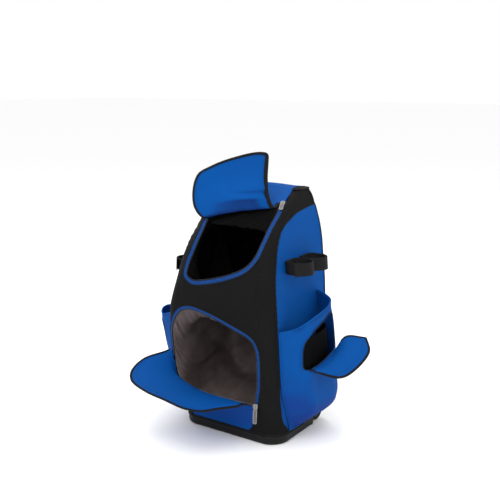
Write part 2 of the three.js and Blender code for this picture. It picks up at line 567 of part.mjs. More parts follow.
// The left pouch is fuller at its mouth, and its mouth sits lower.
function fuller(g) {
  const c = bare(g), p = c.attributes.position;
  for (let i = 0; i < p.count; i += 1) {
    const x = p.getX(i), y = p.getY(i), z = p.getZ(i);
    const fade = mix(1, 0.4, ease((y + 60) / 100)) * ease((x - halfAt(z) - 8) / 45);
    const out = FULLER.out * ease((z - 120) / 180) * fade;
    const low = z - FULLER.drop * ease((z - 240) / 110);
    p.setXYZ(i, x + out + halfAt(low) - halfAt(z), y, low);
  }
  return c;
}
const pouch = cut(sheet(pouchGrid, 14, 7, CLOTH), prism(POCKET_DOOR, 200, 262));
add('pouch_right', bare(pouch), BLUE);
add('pouch_left', mirrored(fuller(pouch)), BLUE);
const pocketBack = sheet((a, b) => {
  const z = mix(64, 290 + 26 * a, b), d = pouchDepth(z), rear = Math.min(pouchRear(z), 62);
  const seam = frontAt(z) + radiusAt(z), x = halfAt(z) + 3.2;
  return new THREE.CatmullRomCurve3([
    vec(x + 0.7 * d - 4.9, seam + 32, z), vec(x + 0.93 * d - 9, seam + 50, z), vec(x + d - 11, seam + 82, z),
    vec(x + d - 11, rear - 62, z), vec(x + d - 12, rear - 40, z), vec(x + d * 0.55, rear - 20, z),
    vec(x + 1.5, rear - 8, z),
  ], false, 'centripetal').getPoint(a);
}, 8, 4, LINING);
add('pocket_back_right', bare(pocketBack), BLACK);
add('pocket_back_left', mirrored(fuller(pocketBack)), BLACK);

// Right pocket flap, folded out and down; the left one lies closed in its opening.
function pouchX(y, z) {
  const near = Array.from({ length: 81 }, (_, i) => pouchWall(i / 80, z))
    .filter((p) => p.x > halfAt(z) + 20).sort((p, q) => Math.abs(p.y - y) - Math.abs(q.y - y));
  return near[0].x;
}
const pocketRows = [
  POCKET_FLAP.map(([y, z]) => vec(pouchX(y, z) + 3.4, y, z)),
  POCKET_FLAP.map(([y, z, ...edge]) => vec(pouchX(y, z), y, z).lerp(vec(...edge), 0.35).add(vec(0, 0, 5))),
  POCKET_FLAP.map(([, , x1, y1, z1]) => vec(x1, y1, z1)),
].map((row) => new THREE.CatmullRomCurve3(row, false, 'centripetal'));
function pocketFlap(a, b) {
  const [p, q, r] = pocketRows.map((c) => c.getPoint(clamp(a, 0, 1)));
  return new THREE.CatmullRomCurve3([p, q, r], false, 'centripetal').getPoint(clamp(b, 0, 1));
}
const POCKET_COLS = 10;
add('pocket_flap_right', sheet((a, b) => pocketFlap(1 - a, b * clear(pocketFlap, 1 - a)), POCKET_COLS, 5,
  CLOTH), BLUE);
const pocketRim = Array.from({ length: POCKET_COLS + 1 }, (_, i) => 1 - i / POCKET_COLS);
add('pocket_binding_right', binding((a, b) => pocketFlap(1 - a, b),
  pocketRim.map((a) => [a, mix(clear(pocketFlap, 1 - a), 1, 0.5)]), pocketRim.map((a) => [a, 1])), BLACK);
const doorMiddle = [0, 1].map((k) => POCKET_DOOR.reduce((s, r) => s + r[k], 0) / POCKET_DOOR.length);
const closedDoor = POCKET_DOOR.map((r) => r.map((v, k) => {
  const d = Math.hypot(r[0] - doorMiddle[0], r[1] - doorMiddle[1]);
  return v - (v - doorMiddle[k]) * 1.6 / d;
}));
const leftFlap = faceted(solid(sheet(pouchGrid, 14, 7, CLOTH)).intersect(solid(prism(closedDoor, 200, 262))));
add('pocket_flap_left', mirrored(fuller(leftFlap)), BLUE);

// Bat loops: two strap rings on each side.
function loop(strap, middle, seat) {
  const n = 16, r = strap.inner + strap.wall, pts = [];
  for (let i = 0; i <= 16; i += 1) {
    const a = Math.PI * (i / 16 - 0.5);
    pts.push([r * Math.cos(a) * 1.06 + r * strap.reach, r * Math.sin(a)]);
  }
  const near = r * Math.min(0.45, strap.reach * 0.6);
  pts.push([near, r * 0.97], [strap.wall, r * 0.8], [0, r * 0.4], [0, 0], [0, -r * 0.4],
    [strap.wall, -r * 0.8], [near, -r * 0.97]);
  const line = new THREE.CatmullRomCurve3(pts.map(([x, y]) => vec(x, y, 0)), true, 'centripetal');
  return sheet((a, b) => {
    const p = line.getPoint(a - Math.floor(a)), z = mix(strap.low, strap.high, b);
    return vec(p.x + halfAt(z) + seat, p.y + middle, z);
  }, n, 1, strap.wall, { ring: true });
}
for (const [place, y, right, left] of [['front', STRAP.front, 1.2, 0.3], ['rear', STRAP.rear, 0.6, 0.6]]) {
  add(`bat_loop_right_${place}`, loop(STRAP, y, right), BLACK);
  add(`bat_loop_left_${place}`, mirrored(loop(STRAP_LEFT, y, left)), BLACK);
}

// Zip pulls: a slider with a flat tab.
function pull(at, out, down, length, width) {
  const w = width / 2, g = join(box(-w, w, -2.4, 2.4, -7, 7), box(1 - w, w - 1, -1.4, 1.4, -length, 0));
  const y = out.clone().negate().normalize(), z = down.clone().negate();
  z.addScaledVector(y, -z.dot(y)).normalize();
  return g.applyMatrix4(new THREE.Matrix4().makeBasis(y.clone().cross(z), y, z)).translate(at.x, at.y, at.z);
}
const onBody = (q, z, lift) => body(q, z).addScaledVector(normalOf(body, q, z, 0.4), lift);
const outAt = (q, z) => normalOf(body, q, z, 0.4);
add('main_zip_pull', pull(onBody(104, 622, 2.8), outAt(104, 622), vec(0.36, -0.86, -0.5), 34, 13),
  GREY, 0.5, 0.3);
add('shoe_zip_pull', pull(onBody(107, 120, 6.4), vec(0.3, -1, 0.1), vec(-0.1, 0.3, -1), 52, 14),
  GREY, 0.5, 0.3);

// Pull handle, stowed behind the back panel in its channel.
const slab = new THREE.Shape();
slab.moveTo(-CHANNEL.half, 0).lineTo(CHANNEL.half, 0).lineTo(CHANNEL.half - 5, CHANNEL.deep)
  .lineTo(-CHANNEL.half + 5, CHANNEL.deep).closePath();
const channelY = 126.5;
for (const s of [-1, 1]) {
  const hole = new THREE.Path();
  hole.absarc(s * HANDLE.spread, HANDLE.y - channelY, CHANNEL.bore, 0, 2 * Math.PI, true);
  slab.holes.push(hole);
}
add('handle_channel', new THREE.ExtrudeGeometry(slab, {
  depth: CHANNEL.top - CHANNEL.bottom, bevelEnabled: false, curveSegments: 8,
}).translate(0, channelY, CHANNEL.bottom), MOULDED, 0.6);
for (const [name, s] of [['right', 1], ['left', -1]]) {
  const tall = HANDLE.top - HANDLE.bottom;
  add(`handle_tube_${name}`, new THREE.CylinderGeometry(HANDLE.radius, HANDLE.radius, tall, 16)
    .rotateX(Math.PI / 2).translate(s * HANDLE.spread, HANDLE.y, HANDLE.bottom + tall / 2), 0xb8bbbe, 0.3, 0.9);
}
const gripFoot = CHANNEL.top + GAP;
add('handle_grip', cut(
  new THREE.BoxGeometry(2 * HANDLE.spread + 26, 18, HANDLE.grip)
    .translate(0, HANDLE.y, gripFoot + HANDLE.grip / 2),
  ...[1, -1].map((s) => new THREE.CylinderGeometry(HANDLE.radius + GAP, HANDLE.radius + GAP, HANDLE.grip, 16)
    .rotateX(Math.PI / 2).translate(s * HANDLE.spread, HANDLE.y, HANDLE.top + GAP - HANDLE.grip / 2)),
), 0x202022, 0.7);

export default bag;
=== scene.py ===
import math

import bpy
import numpy as np
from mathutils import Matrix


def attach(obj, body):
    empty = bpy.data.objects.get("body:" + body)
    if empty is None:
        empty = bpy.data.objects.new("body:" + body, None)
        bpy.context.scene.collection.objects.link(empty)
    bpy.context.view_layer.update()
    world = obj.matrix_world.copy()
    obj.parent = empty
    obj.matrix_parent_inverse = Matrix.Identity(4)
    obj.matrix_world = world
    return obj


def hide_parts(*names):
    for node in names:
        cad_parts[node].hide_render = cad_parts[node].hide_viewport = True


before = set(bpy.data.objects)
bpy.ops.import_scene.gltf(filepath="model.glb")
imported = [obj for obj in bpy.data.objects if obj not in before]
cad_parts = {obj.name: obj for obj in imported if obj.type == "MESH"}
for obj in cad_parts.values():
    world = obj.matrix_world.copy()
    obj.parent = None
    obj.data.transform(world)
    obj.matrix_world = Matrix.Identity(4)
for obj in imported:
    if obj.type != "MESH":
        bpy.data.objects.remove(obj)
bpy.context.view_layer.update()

bl_info = {
    "name": "Wheeled kit bag",
    "version": (1, 0, 0),
    "blender": (4, 5, 0),
    "location": "3D View > Sidebar > Kit bag",
    "description": "Dresses the wheeled kit bag's solids in cloth, moulded plastic and fittings",
    "category": "Object",
}

# Sizes in millimetres, in the frame of the solids: +Z up, front towards -Y, floor at z = 0.
MM = 0.001
# Gap between neighbouring pieces.
GAP = 0.4
# Base: its top in front and beside the wheels, and the height of the plan it follows.
BASE_TOP, HOUSING_TOP, BASE_PLAN = 24.0, 70.0, 12.0
# Upper edge of the body's cloth, edge of the crown, and the rise of its dome.
EAVE, CROWN, CROWN_RISE = 648.4, 652.0, 8.0
# Radius of the body's rear corners.
BACK_RADIUS = 15.0
# Top panel: its left edge on the crown, and the share of it that lies on the hood.
TOP_LEFT, HOOD = -84.0, 0.55
# Wheels: radii of tyre and hub, width, and the right one's place.
WHEEL = {"radius": 31.0, "hub": 19.0, "width": 32.0, "x": 137.0, "y": 101.0}
# Wheel wells: inner corner, outer end, height of the roof, its bend and its rear edge.
WELL = {"x": 119.0, "y": 67.0, "end": 157.0, "roof": 66.0, "bend": 10.0, "rear": 117.0}
# Points across a tyre's tread.
TREAD_STEPS = 33
# Pull handle: its tubes, and the length of its grip. Then the channel that they run in.
HANDLE = {"spread": 44.0, "radius": 6.5, "y": 137.5, "bottom": 92.0, "top": 566.0, "grip": 114.0}
CHANNEL = {"half": 60.0, "front": 126.5, "deep": 20.0, "bottom": 84.0, "top": 552.0}
# Strap loops: inner radius and thickness, height and reach on each side, y and gaps of each pair.
STRAP = {"inner": 30.0, "wall": 2.0}
STRAP_SIDES = {"right": {"low": 459.0, "reach": 0.86}, "left": {"low": 425.0, "reach": 0.36}}
STRAP_PLACES = {
    "front": {"y": -58.0, "right": 1.2, "left": 0.3},
    "rear": {"y": 14.0, "right": 0.6, "left": 0.6},
}
# Steps round a strap loop, and those of its tail.
LOOP_STEPS, LOOP_TAIL = 160, slice(6, 74)
# Coil of a zip: rise of one turn, half its width and height, and the wire's radius.
COIL = {"pitch": 3.0, "wide": 1.5, "high": 1.0, "wire": 0.55}
# Left pouch: how far its mouth is swung out and set lower.
FULLER = {"out": 17.0, "drop": 32.0}

# Sections of the body: z, front, back, half width, front corner radius.
BODY = [
    [0, -116, 116, 159, 52], [24, -116, 117, 159.5, 52], [90, -136, 120, 163, 47],
    [160, -158, 122, 166, 42], [260, -168, 124, 167, 39], [360, -172, 125, 163, 38],
    [440, -170, 126, 158, 38], [510, -151, 126, 151, 35], [560, -114, 126, 142, 32],
    [600, -58, 125, 132, 30], [630, 4, 122, 121, 27], [652, 56, 118, 109, 22],
]
# Inner edge of the right corner band: z, distance across.
BAND_EDGE = [
    [0, 58], [24, 66], [45, 83], [64, 91], [96, 100.4], [112, 116], [140, 126],
    [184, 135.4], [230, 137.5], [274, 136], [300, 132], [312, 130], [406, 129],
    [480, 127.5], [507, 125.4], [538, 128.4], [570, 128.2], [604, 123.4], [628, 108.5],
    [652, 92],
]
# Middle of the two zips: across, z.
MAIN_EDGE = [
    [-84, 578], [-79, 556], [-81, 512], [-92, 465], [-95, 438], [-72, 423], [-26, 429],
    [45, 451], [94, 477], [118, 507], [123, 538], [122, 570], [116, 604], [100, 627],
]
DOOR_EDGE = [
    [107, 103], [110.5, 114], [119, 140], [128.6, 184], [129.6, 268], [114, 300], [52, 325],
    [-23, 347], [-84, 354], [-115, 343], [-136, 316], [-151, 277], [-152, 243], [-150, 205],
]
# The same lines by name, and half the width of each tape.
ZIP_EDGE = {"main": MAIN_EDGE, "shoe": DOOR_EDGE}
ZIP_HALF = {"main": 5.6, "shoe": 4.4}
# Lower edge of the shoe door: across, z.
DOOR_FOOT = [
    [-147, 160], [-140, 110], [-130, 60], [-112, 24], [-90, 6], [0, 4], [40, 8], [75, 42],
    [92, 72], [100, 92],
]
# Shoe flap: hinge across, hinge z, crest x y z, free edge x y z.
SHOE_FLAP = [
    [-152, 188, -163, -146, 202, -178, -136, 213], [-145, 142, -164, -147, 184, -186, -152, 208],
    [-133, 128, -151, -159, 167, -214, -200, 198], [-112, 119, -122, -167, 151, -205, -262, 184],
    [-80, 113, -88, -169, 139, -172, -298, 173], [-45, 110, -54, -169, 131, -120, -305, 159],
    [-10, 109, -14, -168, 127, -62, -302, 149], [30, 109, 27, -166, 126, 0, -297, 138],
    [60, 109, 58, -164, 125, 36, -274, 131], [80, 110, 80, -162, 124, 56, -228, 126],
    [93, 111, 94, -160, 123, 84, -186, 124],
]
# Lid beyond its hinge: left x y z, middle x y z, right x y z.
LID = [
    [-89, -105, 580, 2, -71, 600, 94, -29, 611], [-114, -107, 606, -16, -73, 626, 79, -33, 636],
    [-124, -99, 650, -25, -68, 668, 70, -29, 684], [-113, -91, 690, -21, -63, 709, 70, -26, 726],
    [-84, -79, 711, -14, -58, 741, 72, -25, 764],
]
# Left shoulder, sunk in beside the open lid: z, diagonal place where it starts, share lost beyond.
SINK_WAY = np.array([math.cos(0.6), math.sin(0.6)])
SINK = [
    [350, -178, 0], [395, -178, 0.27], [438, -176, 0.6], [465, -171, 0.76], [512, -154, 0.8],
    [556, -133, 0.92], [578, -122, 0.9], [600, -104, 0.8], [630, -66, 0.5], [652, -30, 0.2],
]
# Side pouch's plan: y, measured from the front seam (0) or the rear corner (1), swing.
POUCH_PLAN = [
    [2, 0, 0], [13, 0, 0.28], [28, 0, 0.64], [46, 0, 0.91], [76, 0, 1], [-36, 1, 1],
    [-9, 1, 0.88], [9, 1, 0.5], [22, 1, 0],
]
# z, how far out, rear corner's y.
POUCH_DEPTH = [
    [34, 4, 102], [50, 24, 100], [70, 47, 98], [92, 60, 94], [124, 66, 88], [200, 65, 73],
    [300, 65, 57], [390, 62, 44],
]
# Share of the way round, z of the rim.
POUCH_RIM = [
    [0, 320], [0.12, 324], [0.25, 332], [0.38, 345], [0.5, 353], [0.65, 367], [0.8, 378], [1, 387],
]
# y, z of the pocket's opening.
POCKET_DOOR = [
    [-88, 221], [-94, 250], [-92, 291], [-80, 308], [-53, 321], [-14, 334], [20, 344], [37, 336],
    [42, 300], [42, 262], [37, 245], [10, 238], [-25, 230], [-60, 224],
]
# Pocket flap: hinge y z, free edge x y z.
POCKET_FLAP = [
    [-85, 215, 243, -72, 213], [-50, 220, 297, -46, 203], [-12, 228, 315, 4, 213],
    [19, 235, 326, 58, 247], [36, 241, 300, 92, 271],
]
# Rings that the linings hang through: x from, x to, z from, z to, y, corner radius.
SHOE_RINGS = [
    [-143, 132, 72, 318, -118, 84], [-148, 144, 54, 330, -52, 70], [-150, 148, 84, 354, 40, 60],
    [-138, 136, 92, 346, 104, 50], [-70, 70, 150, 290, 113, 40], [-12, 12, 205, 235, 114, 8],
]
MAIN_RINGS = [
    [-128, 128, 372, 566, -92, 50], [-136, 136, 368, 600, -20, 50], [-118, 118, 368, 640, 62, 40],
    [-104, 104, 372, 640, 112, 40], [-60, 60, 440, 580, 121, 40], [-10, 10, 500, 525, 122, 8],
]
# Black shoulder's seam on the side: distance behind the corner, z.
SHOULDER = [[0, 560], [6, 574], [19, 586], [40, 598], [80, 606], [140, 611]]
# Zip pulls: name, across and z, lift, way out or the cloth's own, way down, length, width.
PULLS = [
    ("main", (104.0, 622.0), 2.8, None, (0.36, -0.86, -0.5), 34, 13),
    ("shoe", (114.0, 121.0), 6.4, (0.3, -1, 0.1), (-0.1, 0.3, -1), 45, 12.6),
]
# Lights, in metres: name, place, aim, side, share of the key light's power.
LIGHTS = [
    ("key", (0.6, -2.4, 2.6), (0, 0, 0.35), 2.2, 1.0), ("fill", (2.6, -0.6, 1.6), (0, 0, 0.35), 2.0, 0.45),
    ("rim", (-1.6, 1.4, 2.4), (0, 0, 0.4), 1.6, 0.35), ("top", (0.0, -0.7, 3.0), (0, 0, 0), 2.4, 0.9),
]
# Camera: place in metres, angles in degrees, focal length and picture in pixels, sensor in mm.
CAMERA = {
    "place": (1.1745, -1.7378, 0.932), "down": 12.0, "round": 34.2,
    "focal": 799.5, "picture": 500, "sensor": 36.0,
}


# Lines and surfaces

def mix(a, b, t):
    """a at t = 0, b at t = 1."""
    return a + (b - a) * t


def smooth(t):
    """Eased step from 0 to 1: 3 t^2 - 2 t^3."""
    t = np.clip(t, 0, 1)
    return t * t * (3 - 2 * t)


def unit(v):
    """Vectors scaled to length 1."""
    return v / np.maximum(np.linalg.norm(v, axis=-1, keepdims=True), 1e-9)


def square(na, nb):
    """Two arrays of parameters from 0 to 1, over a grid of na by nb points."""
    return np.meshgrid(np.linspace(0, 1, na), np.linspace(0, 1, nb), indexing="ij")


def along(rows, col):
    """Monotone cubic through one column of a table whose first column rises: Hermite pieces with
    weighted harmonic means of the neighbouring slopes, and flat where the slope changes sign."""
    x, y = np.array([[r[0], r[col]] for r in rows], float).T
    h = np.diff(x)
    d = np.diff(y) / h
    a, b = 2 * h[1:] + h[:-1], h[1:] + 2 * h[:-1]
    safe = np.where(d[:-1] * d[1:] > 0, 1, np.nan)
    inner = np.nan_to_num((a + b) / (a / (d[:-1] * safe) + b / (d[1:] * safe)))
    m = np.concatenate([d[:1], inner, d[-1:]])

    def at(q):
        """The Hermite cubic of the span that holds q, and the end values beyond the table."""
        v = np.clip(q, x[0], x[-1])
        i = np.clip(np.searchsorted(x, v) - 1, 0, len(x) - 2)
        t = (v - x[i]) / h[i]
        s = 1 - t
        return ((1 + 2 * t) * s * s * y[i] + t * s * s * h[i] * m[i]
                + t * t * (3 - 2 * t) * y[i + 1] - t * t * s * h[i] * m[i + 1])
    return at


def spline(points, t):
    """Centripetal Catmull-Rom curve through points (..., n, 3) at t from 0 to 1: each span is a
    cubic whose end slopes weigh the neighbouring spans by the root of their lengths."""
    n = points.shape[-2]
    first = 2 * points[..., :1, :] - points[..., 1:2, :]
    last = 2 * points[..., -1:, :] - points[..., -2:-1, :]
    wide = np.concatenate([first, points, last], -2)
    t = np.clip(t, 0, 1) * (n - 1)
    i = np.clip(np.floor(t).astype(int), 0, n - 2)
    w = (t - i)[..., None]
    wide = np.broadcast_to(wide, i.shape + wide.shape[-2:])
    p = [np.take_along_axis(wide, (i + k)[..., None, None], -2)[..., 0, :] for k in range(4)]
    e = [np.linalg.norm(p[k + 1] - p[k], axis=-1, keepdims=True) for k in range(3)]
    e = [np.maximum(span, 1e-6) ** 0.5 for span in e]
    s1 = ((p[1] - p[0]) / e[0] - (p[2] - p[0]) / (e[0] + e[1]) + (p[2] - p[1]) / e[1]) * e[1]
    s2 = ((p[2] - p[1]) / e[1] - (p[3] - p[1]) / (e[1] + e[2]) + (p[3] - p[2]) / e[2]) * e[1]
    return (p[1] + s1 * w + (3 * (p[2] - p[1]) - 2 * s1 - s2) * w ** 2
            + (2 * (p[1] - p[2]) + s1 + s2) * w ** 3)


def closed_spline(rows, n):
    """Smooth closed curve through points, at n places from the first point round to it again, the
    last one left out."""
    k = len(rows)
    wide = np.concatenate([rows[-3:], rows, rows[:3]])
    return spline(wide, np.linspace(3 / (k + 5), (k + 3) / (k + 5), n))[:-1]


def run_along(points):
    """Length along a line of points, up to each of them."""
    return np.concatenate([[0], np.cumsum(np.linalg.norm(np.diff(points, axis=0), axis=1))])


def evenly(points, n, closed=False):
    """n points at equal steps of length along a dense line of points."""
    if closed:
        points = np.concatenate([points, points[:1]])
    reach = run_along(points)
    at = np.linspace(0, reach[-1], n + closed)[:n]
    return np.stack([np.interp(at, reach, points[:, k]) for k in range(points.shape[1])], 1)


front_at, back_at, half_at, radius_at = (along(BODY, c) for c in (1, 2, 3, 4))
band_edge = along(BAND_EDGE, 1)
sink_start, sink_share = along(SINK, 1), along(SINK, 2)
shoulder_back = along([[z, d] for d, z in SHOULDER], 1)


def turns(z):
    """Distances across where the section turns from front to corner, side, rear corner and back."""
    flat = half_at(z) - radius_at(z)
    side = flat + radius_at(z) * math.pi / 2
    rear = side + back_at(z) - BACK_RADIUS - front_at(z) - radius_at(z)
    back = rear + BACK_RADIUS * math.pi / 2
    return flat, side, rear, back, back + half_at(z) - BACK_RADIUS


def sunk(p, inset=0.0):
    """Points of the left shoulder moved in beside the open lid: beyond a diagonal place they lose
    a share of how far they are past it. An inset starts it further in."""
    z = p[..., 2]
    past = np.maximum(sink_start(z) + inset - p[..., :2] @ SINK_WAY, 0) * (z > SINK[0][0])
    push = sink_share(z) * past ** 2 / (past + 10)
    return p + push[..., None] * np.append(SINK_WAY, 0)


def body(q, z):
    """Outer surface of the cloth body: straight front, round corner, straight side, small rear
    corner and straight back, at distance q across from the front's middle and height z."""
    q, z = np.broadcast_arrays(np.asarray(q, float), np.asarray(z, float))
    flat, side, rear, back, _ = turns(z)
    half, r, front, d = half_at(z), radius_at(z), front_at(z), np.abs(q)
    a, b = np.clip((d - flat) / r, 0, math.pi / 2), np.clip((d - rear) / BACK_RADIUS, 0, math.pi / 2)
    where = [d > back, d > rear, d > side, d > flat]
    x = np.select(where, [half - BACK_RADIUS - (d - back), half - BACK_RADIUS * (1 - np.cos(b)), half,
                          flat + r * np.sin(a)], d)
    y = np.select(where, [back_at(z), back_at(z) - BACK_RADIUS * (1 - np.sin(b)), front + r + d - side,
                          front + r * (1 - np.cos(a))], front)
    return sunk(np.stack([np.where(q < 0, -x, x), y, z], -1))


def body_normal(q, z):
    """Outward normal: the cross product of the two slopes of the body's surface."""
    e = 0.4
    return unit(np.cross(body(q + e, z) - body(q - e, z), body(q, z + e) - body(q, z - e)))


def waves(u, v, seed, shortest, longest, count=14):
    """Gentle unevenness: a sum of sine waves of many directions and lengths, longer ones higher."""
    rng = np.random.default_rng(seed)
    angle, phase = rng.uniform(0, math.pi, count), rng.uniform(0, 2 * math.pi, count)
    length = np.exp(rng.uniform(math.log(shortest), math.log(longest), count))
    high = length / length.sum()
    total = np.zeros(np.broadcast(u, v).shape)
    for k in range(count):
        way = u * np.cos(angle[k]) + v * np.sin(angle[k])
        total += high[k] * np.sin(2 * math.pi * way / length[k] + phase[k])
    return total


def cloth(q, z, lift=0.0):
    """Body surface as sewn: gentle waves of the cloth, stilled at the base, small puckers that
    fade out beside the corner band's two seams, plus a lift."""
    q, z = np.broadcast_arrays(np.asarray(q, float), np.asarray(z, float))
    still = smooth((z - 30) / 70)
    seams = q - band_edge(z), np.abs(q) - band_back(z)
    near = sum(np.exp(-(np.abs(d) / 9) ** 1.5) for d in seams)
    gather = np.sin(2 * math.pi * z / 15 + 2 * np.sin(z / 37) + 0.5 * np.sign(q))
    pucker = 0.55 * near * gather - 0.9 * near
    p = body(q, z)
    behind = smooth((np.abs(q) - turns(z)[2]) / 40)
    wave = mix(waves(q, z, 5, 70, 260), waves(p[..., 0], z, 6, 70, 260), behind)
    return p + body_normal(q, z) * (lift + still * (4.0 * wave + pucker))[..., None]


PROFILE_Z = np.arange(0, 653, 2.0)
PROFILE_LENGTH = np.concatenate([[0], np.cumsum(np.hypot(2, np.diff(front_at(PROFILE_Z))))])


def length_at(z):
    """Length along the front's profile up to z."""
    return np.interp(z, PROFILE_Z, PROFILE_LENGTH)


def height_at(s):
    """Height at a length along the front's profile."""
    return np.interp(s, PROFILE_LENGTH, PROFILE_Z)


def edge_line(rows, t, off=0.0):
    """Smooth line through (across, z) rows at shares t of its length, moved off to its left."""
    raw = np.array([[q, length_at(z), 0] for q, z in rows], float)
    dense = evenly(spline(raw, np.linspace(0, 1, 900)), 900)
    slope = unit(np.gradient(dense, axis=0))
    share = np.linspace(0, 1, 900)
    p, d = ([np.interp(t, share, arr[:, k]) for k in (0, 1)] for arr in (dense, slope))
    return p[0] - off * d[1], height_at(p[1] + off * d[0])


def band_back(z):
    """Rear edge of the corner band, bowed forwards above the base and sweeping back over the
    side near the top."""
    _, side, rear, _, _ = turns(z)
    bow = 15 * smooth((z - 28) / 35) * smooth((200 - z) / 130)
    return np.minimum(side - GAP - bow + np.where(z > 560, shoulder_back(z), 0), rear - 1.4)


def hem(q):
    """Top edge of the moulded base: level in front, stepped up beside the wheels."""
    side = turns(60.0)[1]
    return mix(BASE_TOP, HOUSING_TOP, smooth((np.abs(q) - side - 66) / 60))


def crown(q, v):
    """Top of the bag: straight lines from the body's top edge to its back edge with the round
    rear corners, domed in the middle."""
    p = body(q, CROWN + 0 * q)
    x = p[..., 0]
    past = np.clip(np.abs(x) - half_at(CROWN) + BACK_RADIUS, 0, BACK_RADIUS)
    end = back_at(CROWN) - BACK_RADIUS + np.sqrt(BACK_RADIUS ** 2 - past ** 2)
    rise = CROWN_RISE * (1 - (x / half_at(CROWN)) ** 2) * np.sin(math.pi * np.clip(v, 0, 1) ** 0.8)
    return np.stack([x, mix(p[..., 1], end, v), CROWN + rise], -1)


def inside(outline, u, v):
    """True for points inside a closed outline, by counting its crossings."""
    x0, y0 = outline.T
    x1, y1 = np.roll(outline, -1, 0).T
    u, v = u[..., None], v[..., None]
    cross = (y0 > v) != (y1 > v)
    rise = np.where(y1 == y0, 1e-9, y1 - y0)
    return (cross & (u < (x1 - x0) * (v - y0) / rise + x0)).sum(-1) % 2 == 1


def touching(flags):
    """For each corner of a grid, how many of the faces round it are flagged."""
    na, nb = flags.shape
    pad = np.pad(flags, 1, constant_values=False).astype(int)
    return sum(pad[i:i + na + 1, j:j + nb + 1] for i in (0, 1) for j in (0, 1))


def cut_open(u, v, outlines):
    """Drops the faces of a grid inside the outlines and draws the rim's points onto them, each to
    the nearest point of the outline. Gives the moved parameters and the faces that stay."""
    fu, fv = ((g[:-1, :-1] + g[1:, :-1] + g[:-1, 1:] + g[1:, 1:]) / 4 for g in (u, v))
    keep = np.ones(fu.shape, bool)
    u, v = u.copy(), v.copy()
    for outline in outlines:
        gone = inside(outline, fu, fv)
        keep &= ~gone
        count = touching(gone)
        rim = (count > 0) & (count < touching(np.ones_like(gone)))
        p = np.stack([u[rim], v[rim]], -1)
        a, b = outline, np.roll(outline, -1, 0)
        t = ((p[:, None] - a) * (b - a)).sum(-1) / np.maximum(((b - a) ** 2).sum(-1), 1e-9)
        near = a + np.clip(t, 0, 1)[..., None] * (b - a)
        best = np.argmin(((near - p[:, None]) ** 2).sum(-1), 1)
        u[rim], v[rim] = near[np.arange(len(p)), best].T
    return u, v, keep


def grid_normal(points):
    """Normals of a grid of points, da x db."""
    return unit(np.cross(np.gradient(points, axis=0), np.gradient(points, axis=1)))


class Shell:
    """Points, faces, map and material numbers of one piece, gathered patch by patch, with the
    area and the longest row and column of its open patches."""

    def __init__(self):
        """An empty piece."""
        self.points, self.map, self.count = [], [], 0
        self.faces, self.mats, self.rounded = [], [], []
        self.area, self.flat = 0.0, (0.0, 0.0)

    def grid(self, p, keep=None, close_a=False, close_b=False, mat=0, flip=False, pole=None):
        """Adds a grid of points, its faces turned towards da x db, with a map in millimetres along
        both ways. A pole closes the last row."""
        na, nb = p.shape[:2]
        index = np.arange(na * nb).reshape(na, nb) + self.count
        ring = index
        if close_a:
            ring = np.concatenate([ring, ring[:1]], 0)
        if close_b:
            ring = np.concatenate([ring, ring[:, :1]], 1)
        quads = np.stack([ring[:-1, :-1], ring[1:, :-1], ring[1:, 1:], ring[:-1, 1:]], -1)
        size_a, size_b = (np.linalg.norm(np.diff(p, axis=k), axis=-1) for k in (0, 1))
        u = np.concatenate([np.zeros((1, nb)), np.cumsum(size_a, 0)], 0)
        v = np.concatenate([np.zeros((na, 1)), np.cumsum(size_b, 1)], 1)
        u = u - u[na // 2]
        if not close_b:
            d = p[1:, 1:] - p[:-1, :-1], p[:-1, 1:] - p[1:, :-1]
            patch = np.linalg.norm(np.cross(*d), axis=-1) / 2
            stays = np.ones((na - 1, nb - 1), bool) if keep is None else keep[:na - 1]
            self.area += patch[stays].sum()
            wide, tall = (size_a[:, 1:] * stays).sum(0).max(), (size_b[1:] * stays).sum(1).max()
            self.flat = (max(self.flat[0], wide), max(self.flat[1], tall))
        quads = quads[keep] if keep is not None else quads.reshape(-1, 4)
        uv = np.stack([u, v], -1).reshape(-1, 2)
        self.add(p.reshape(-1, 3), quads[:, ::-1] if flip else quads, uv, mat)
        if pole is not None:
            last = index[:, -1]
            after = np.roll(last, -1) if close_a else last[1:]
            last = last if close_a else last[:-1]
            tris = np.stack([last, after, np.full(len(last), self.count)], -1)
            tip = np.asarray(pole, float)[None]
            self.add(tip, tris[:, ::-1] if flip else tris, np.zeros((1, 2)), mat)
        return self

    def add(self, points, faces, uv, mat):
        """Appends points with their map, and smooth faces with one material number."""
        self.points.append(points)
        self.map.append(uv)
        self.faces.extend(faces.tolist())
        self.mats.extend([mat] * len(faces))
        self.rounded.extend([True] * len(faces))
        self.count += len(points)

    def cap(self, loop, mat=0):
        """Closes a loop of points of the last patch with one flat face."""
        last = self.points[-1]
        at = np.argmin(((np.asarray(loop)[:, None] - last[None]) ** 2).sum(-1), 1)
        self.faces.append((at + self.count - len(last)).tolist())
        self.mats.append(mat)
        self.rounded.append(False)
        return self


def tube(path, radius, sides=8, up=None, closed=False):
    """Grid of a round section carried along a path: a ring of points about each place, with one
    radius or a radius for each place."""
    path = np.asarray(path, float)
    if closed:
        tangent = unit(np.roll(path, -1, 0) - np.roll(path, 1, 0))
    else:
        tangent = unit(np.gradient(path, axis=0))
    ref = np.array([0.0, 0.0, 1.0]) if up is None else np.asarray(up, float)
    side = np.cross(tangent, ref)
    weak = np.linalg.norm(side, axis=-1, keepdims=True) < 1e-3
    side = unit(np.where(weak, np.cross(tangent, [1.0, 0.3, 0.0]), side))[:, None]
    top = np.cross(side, tangent[:, None])
    angle = np.linspace(0, 2 * math.pi, sides, endpoint=False)[:, None]
    r = np.broadcast_to(np.asarray(radius, float), (len(path),))[:, None, None]
    return path[:, None] + r * (np.cos(angle) * side + np.sin(angle) * top)


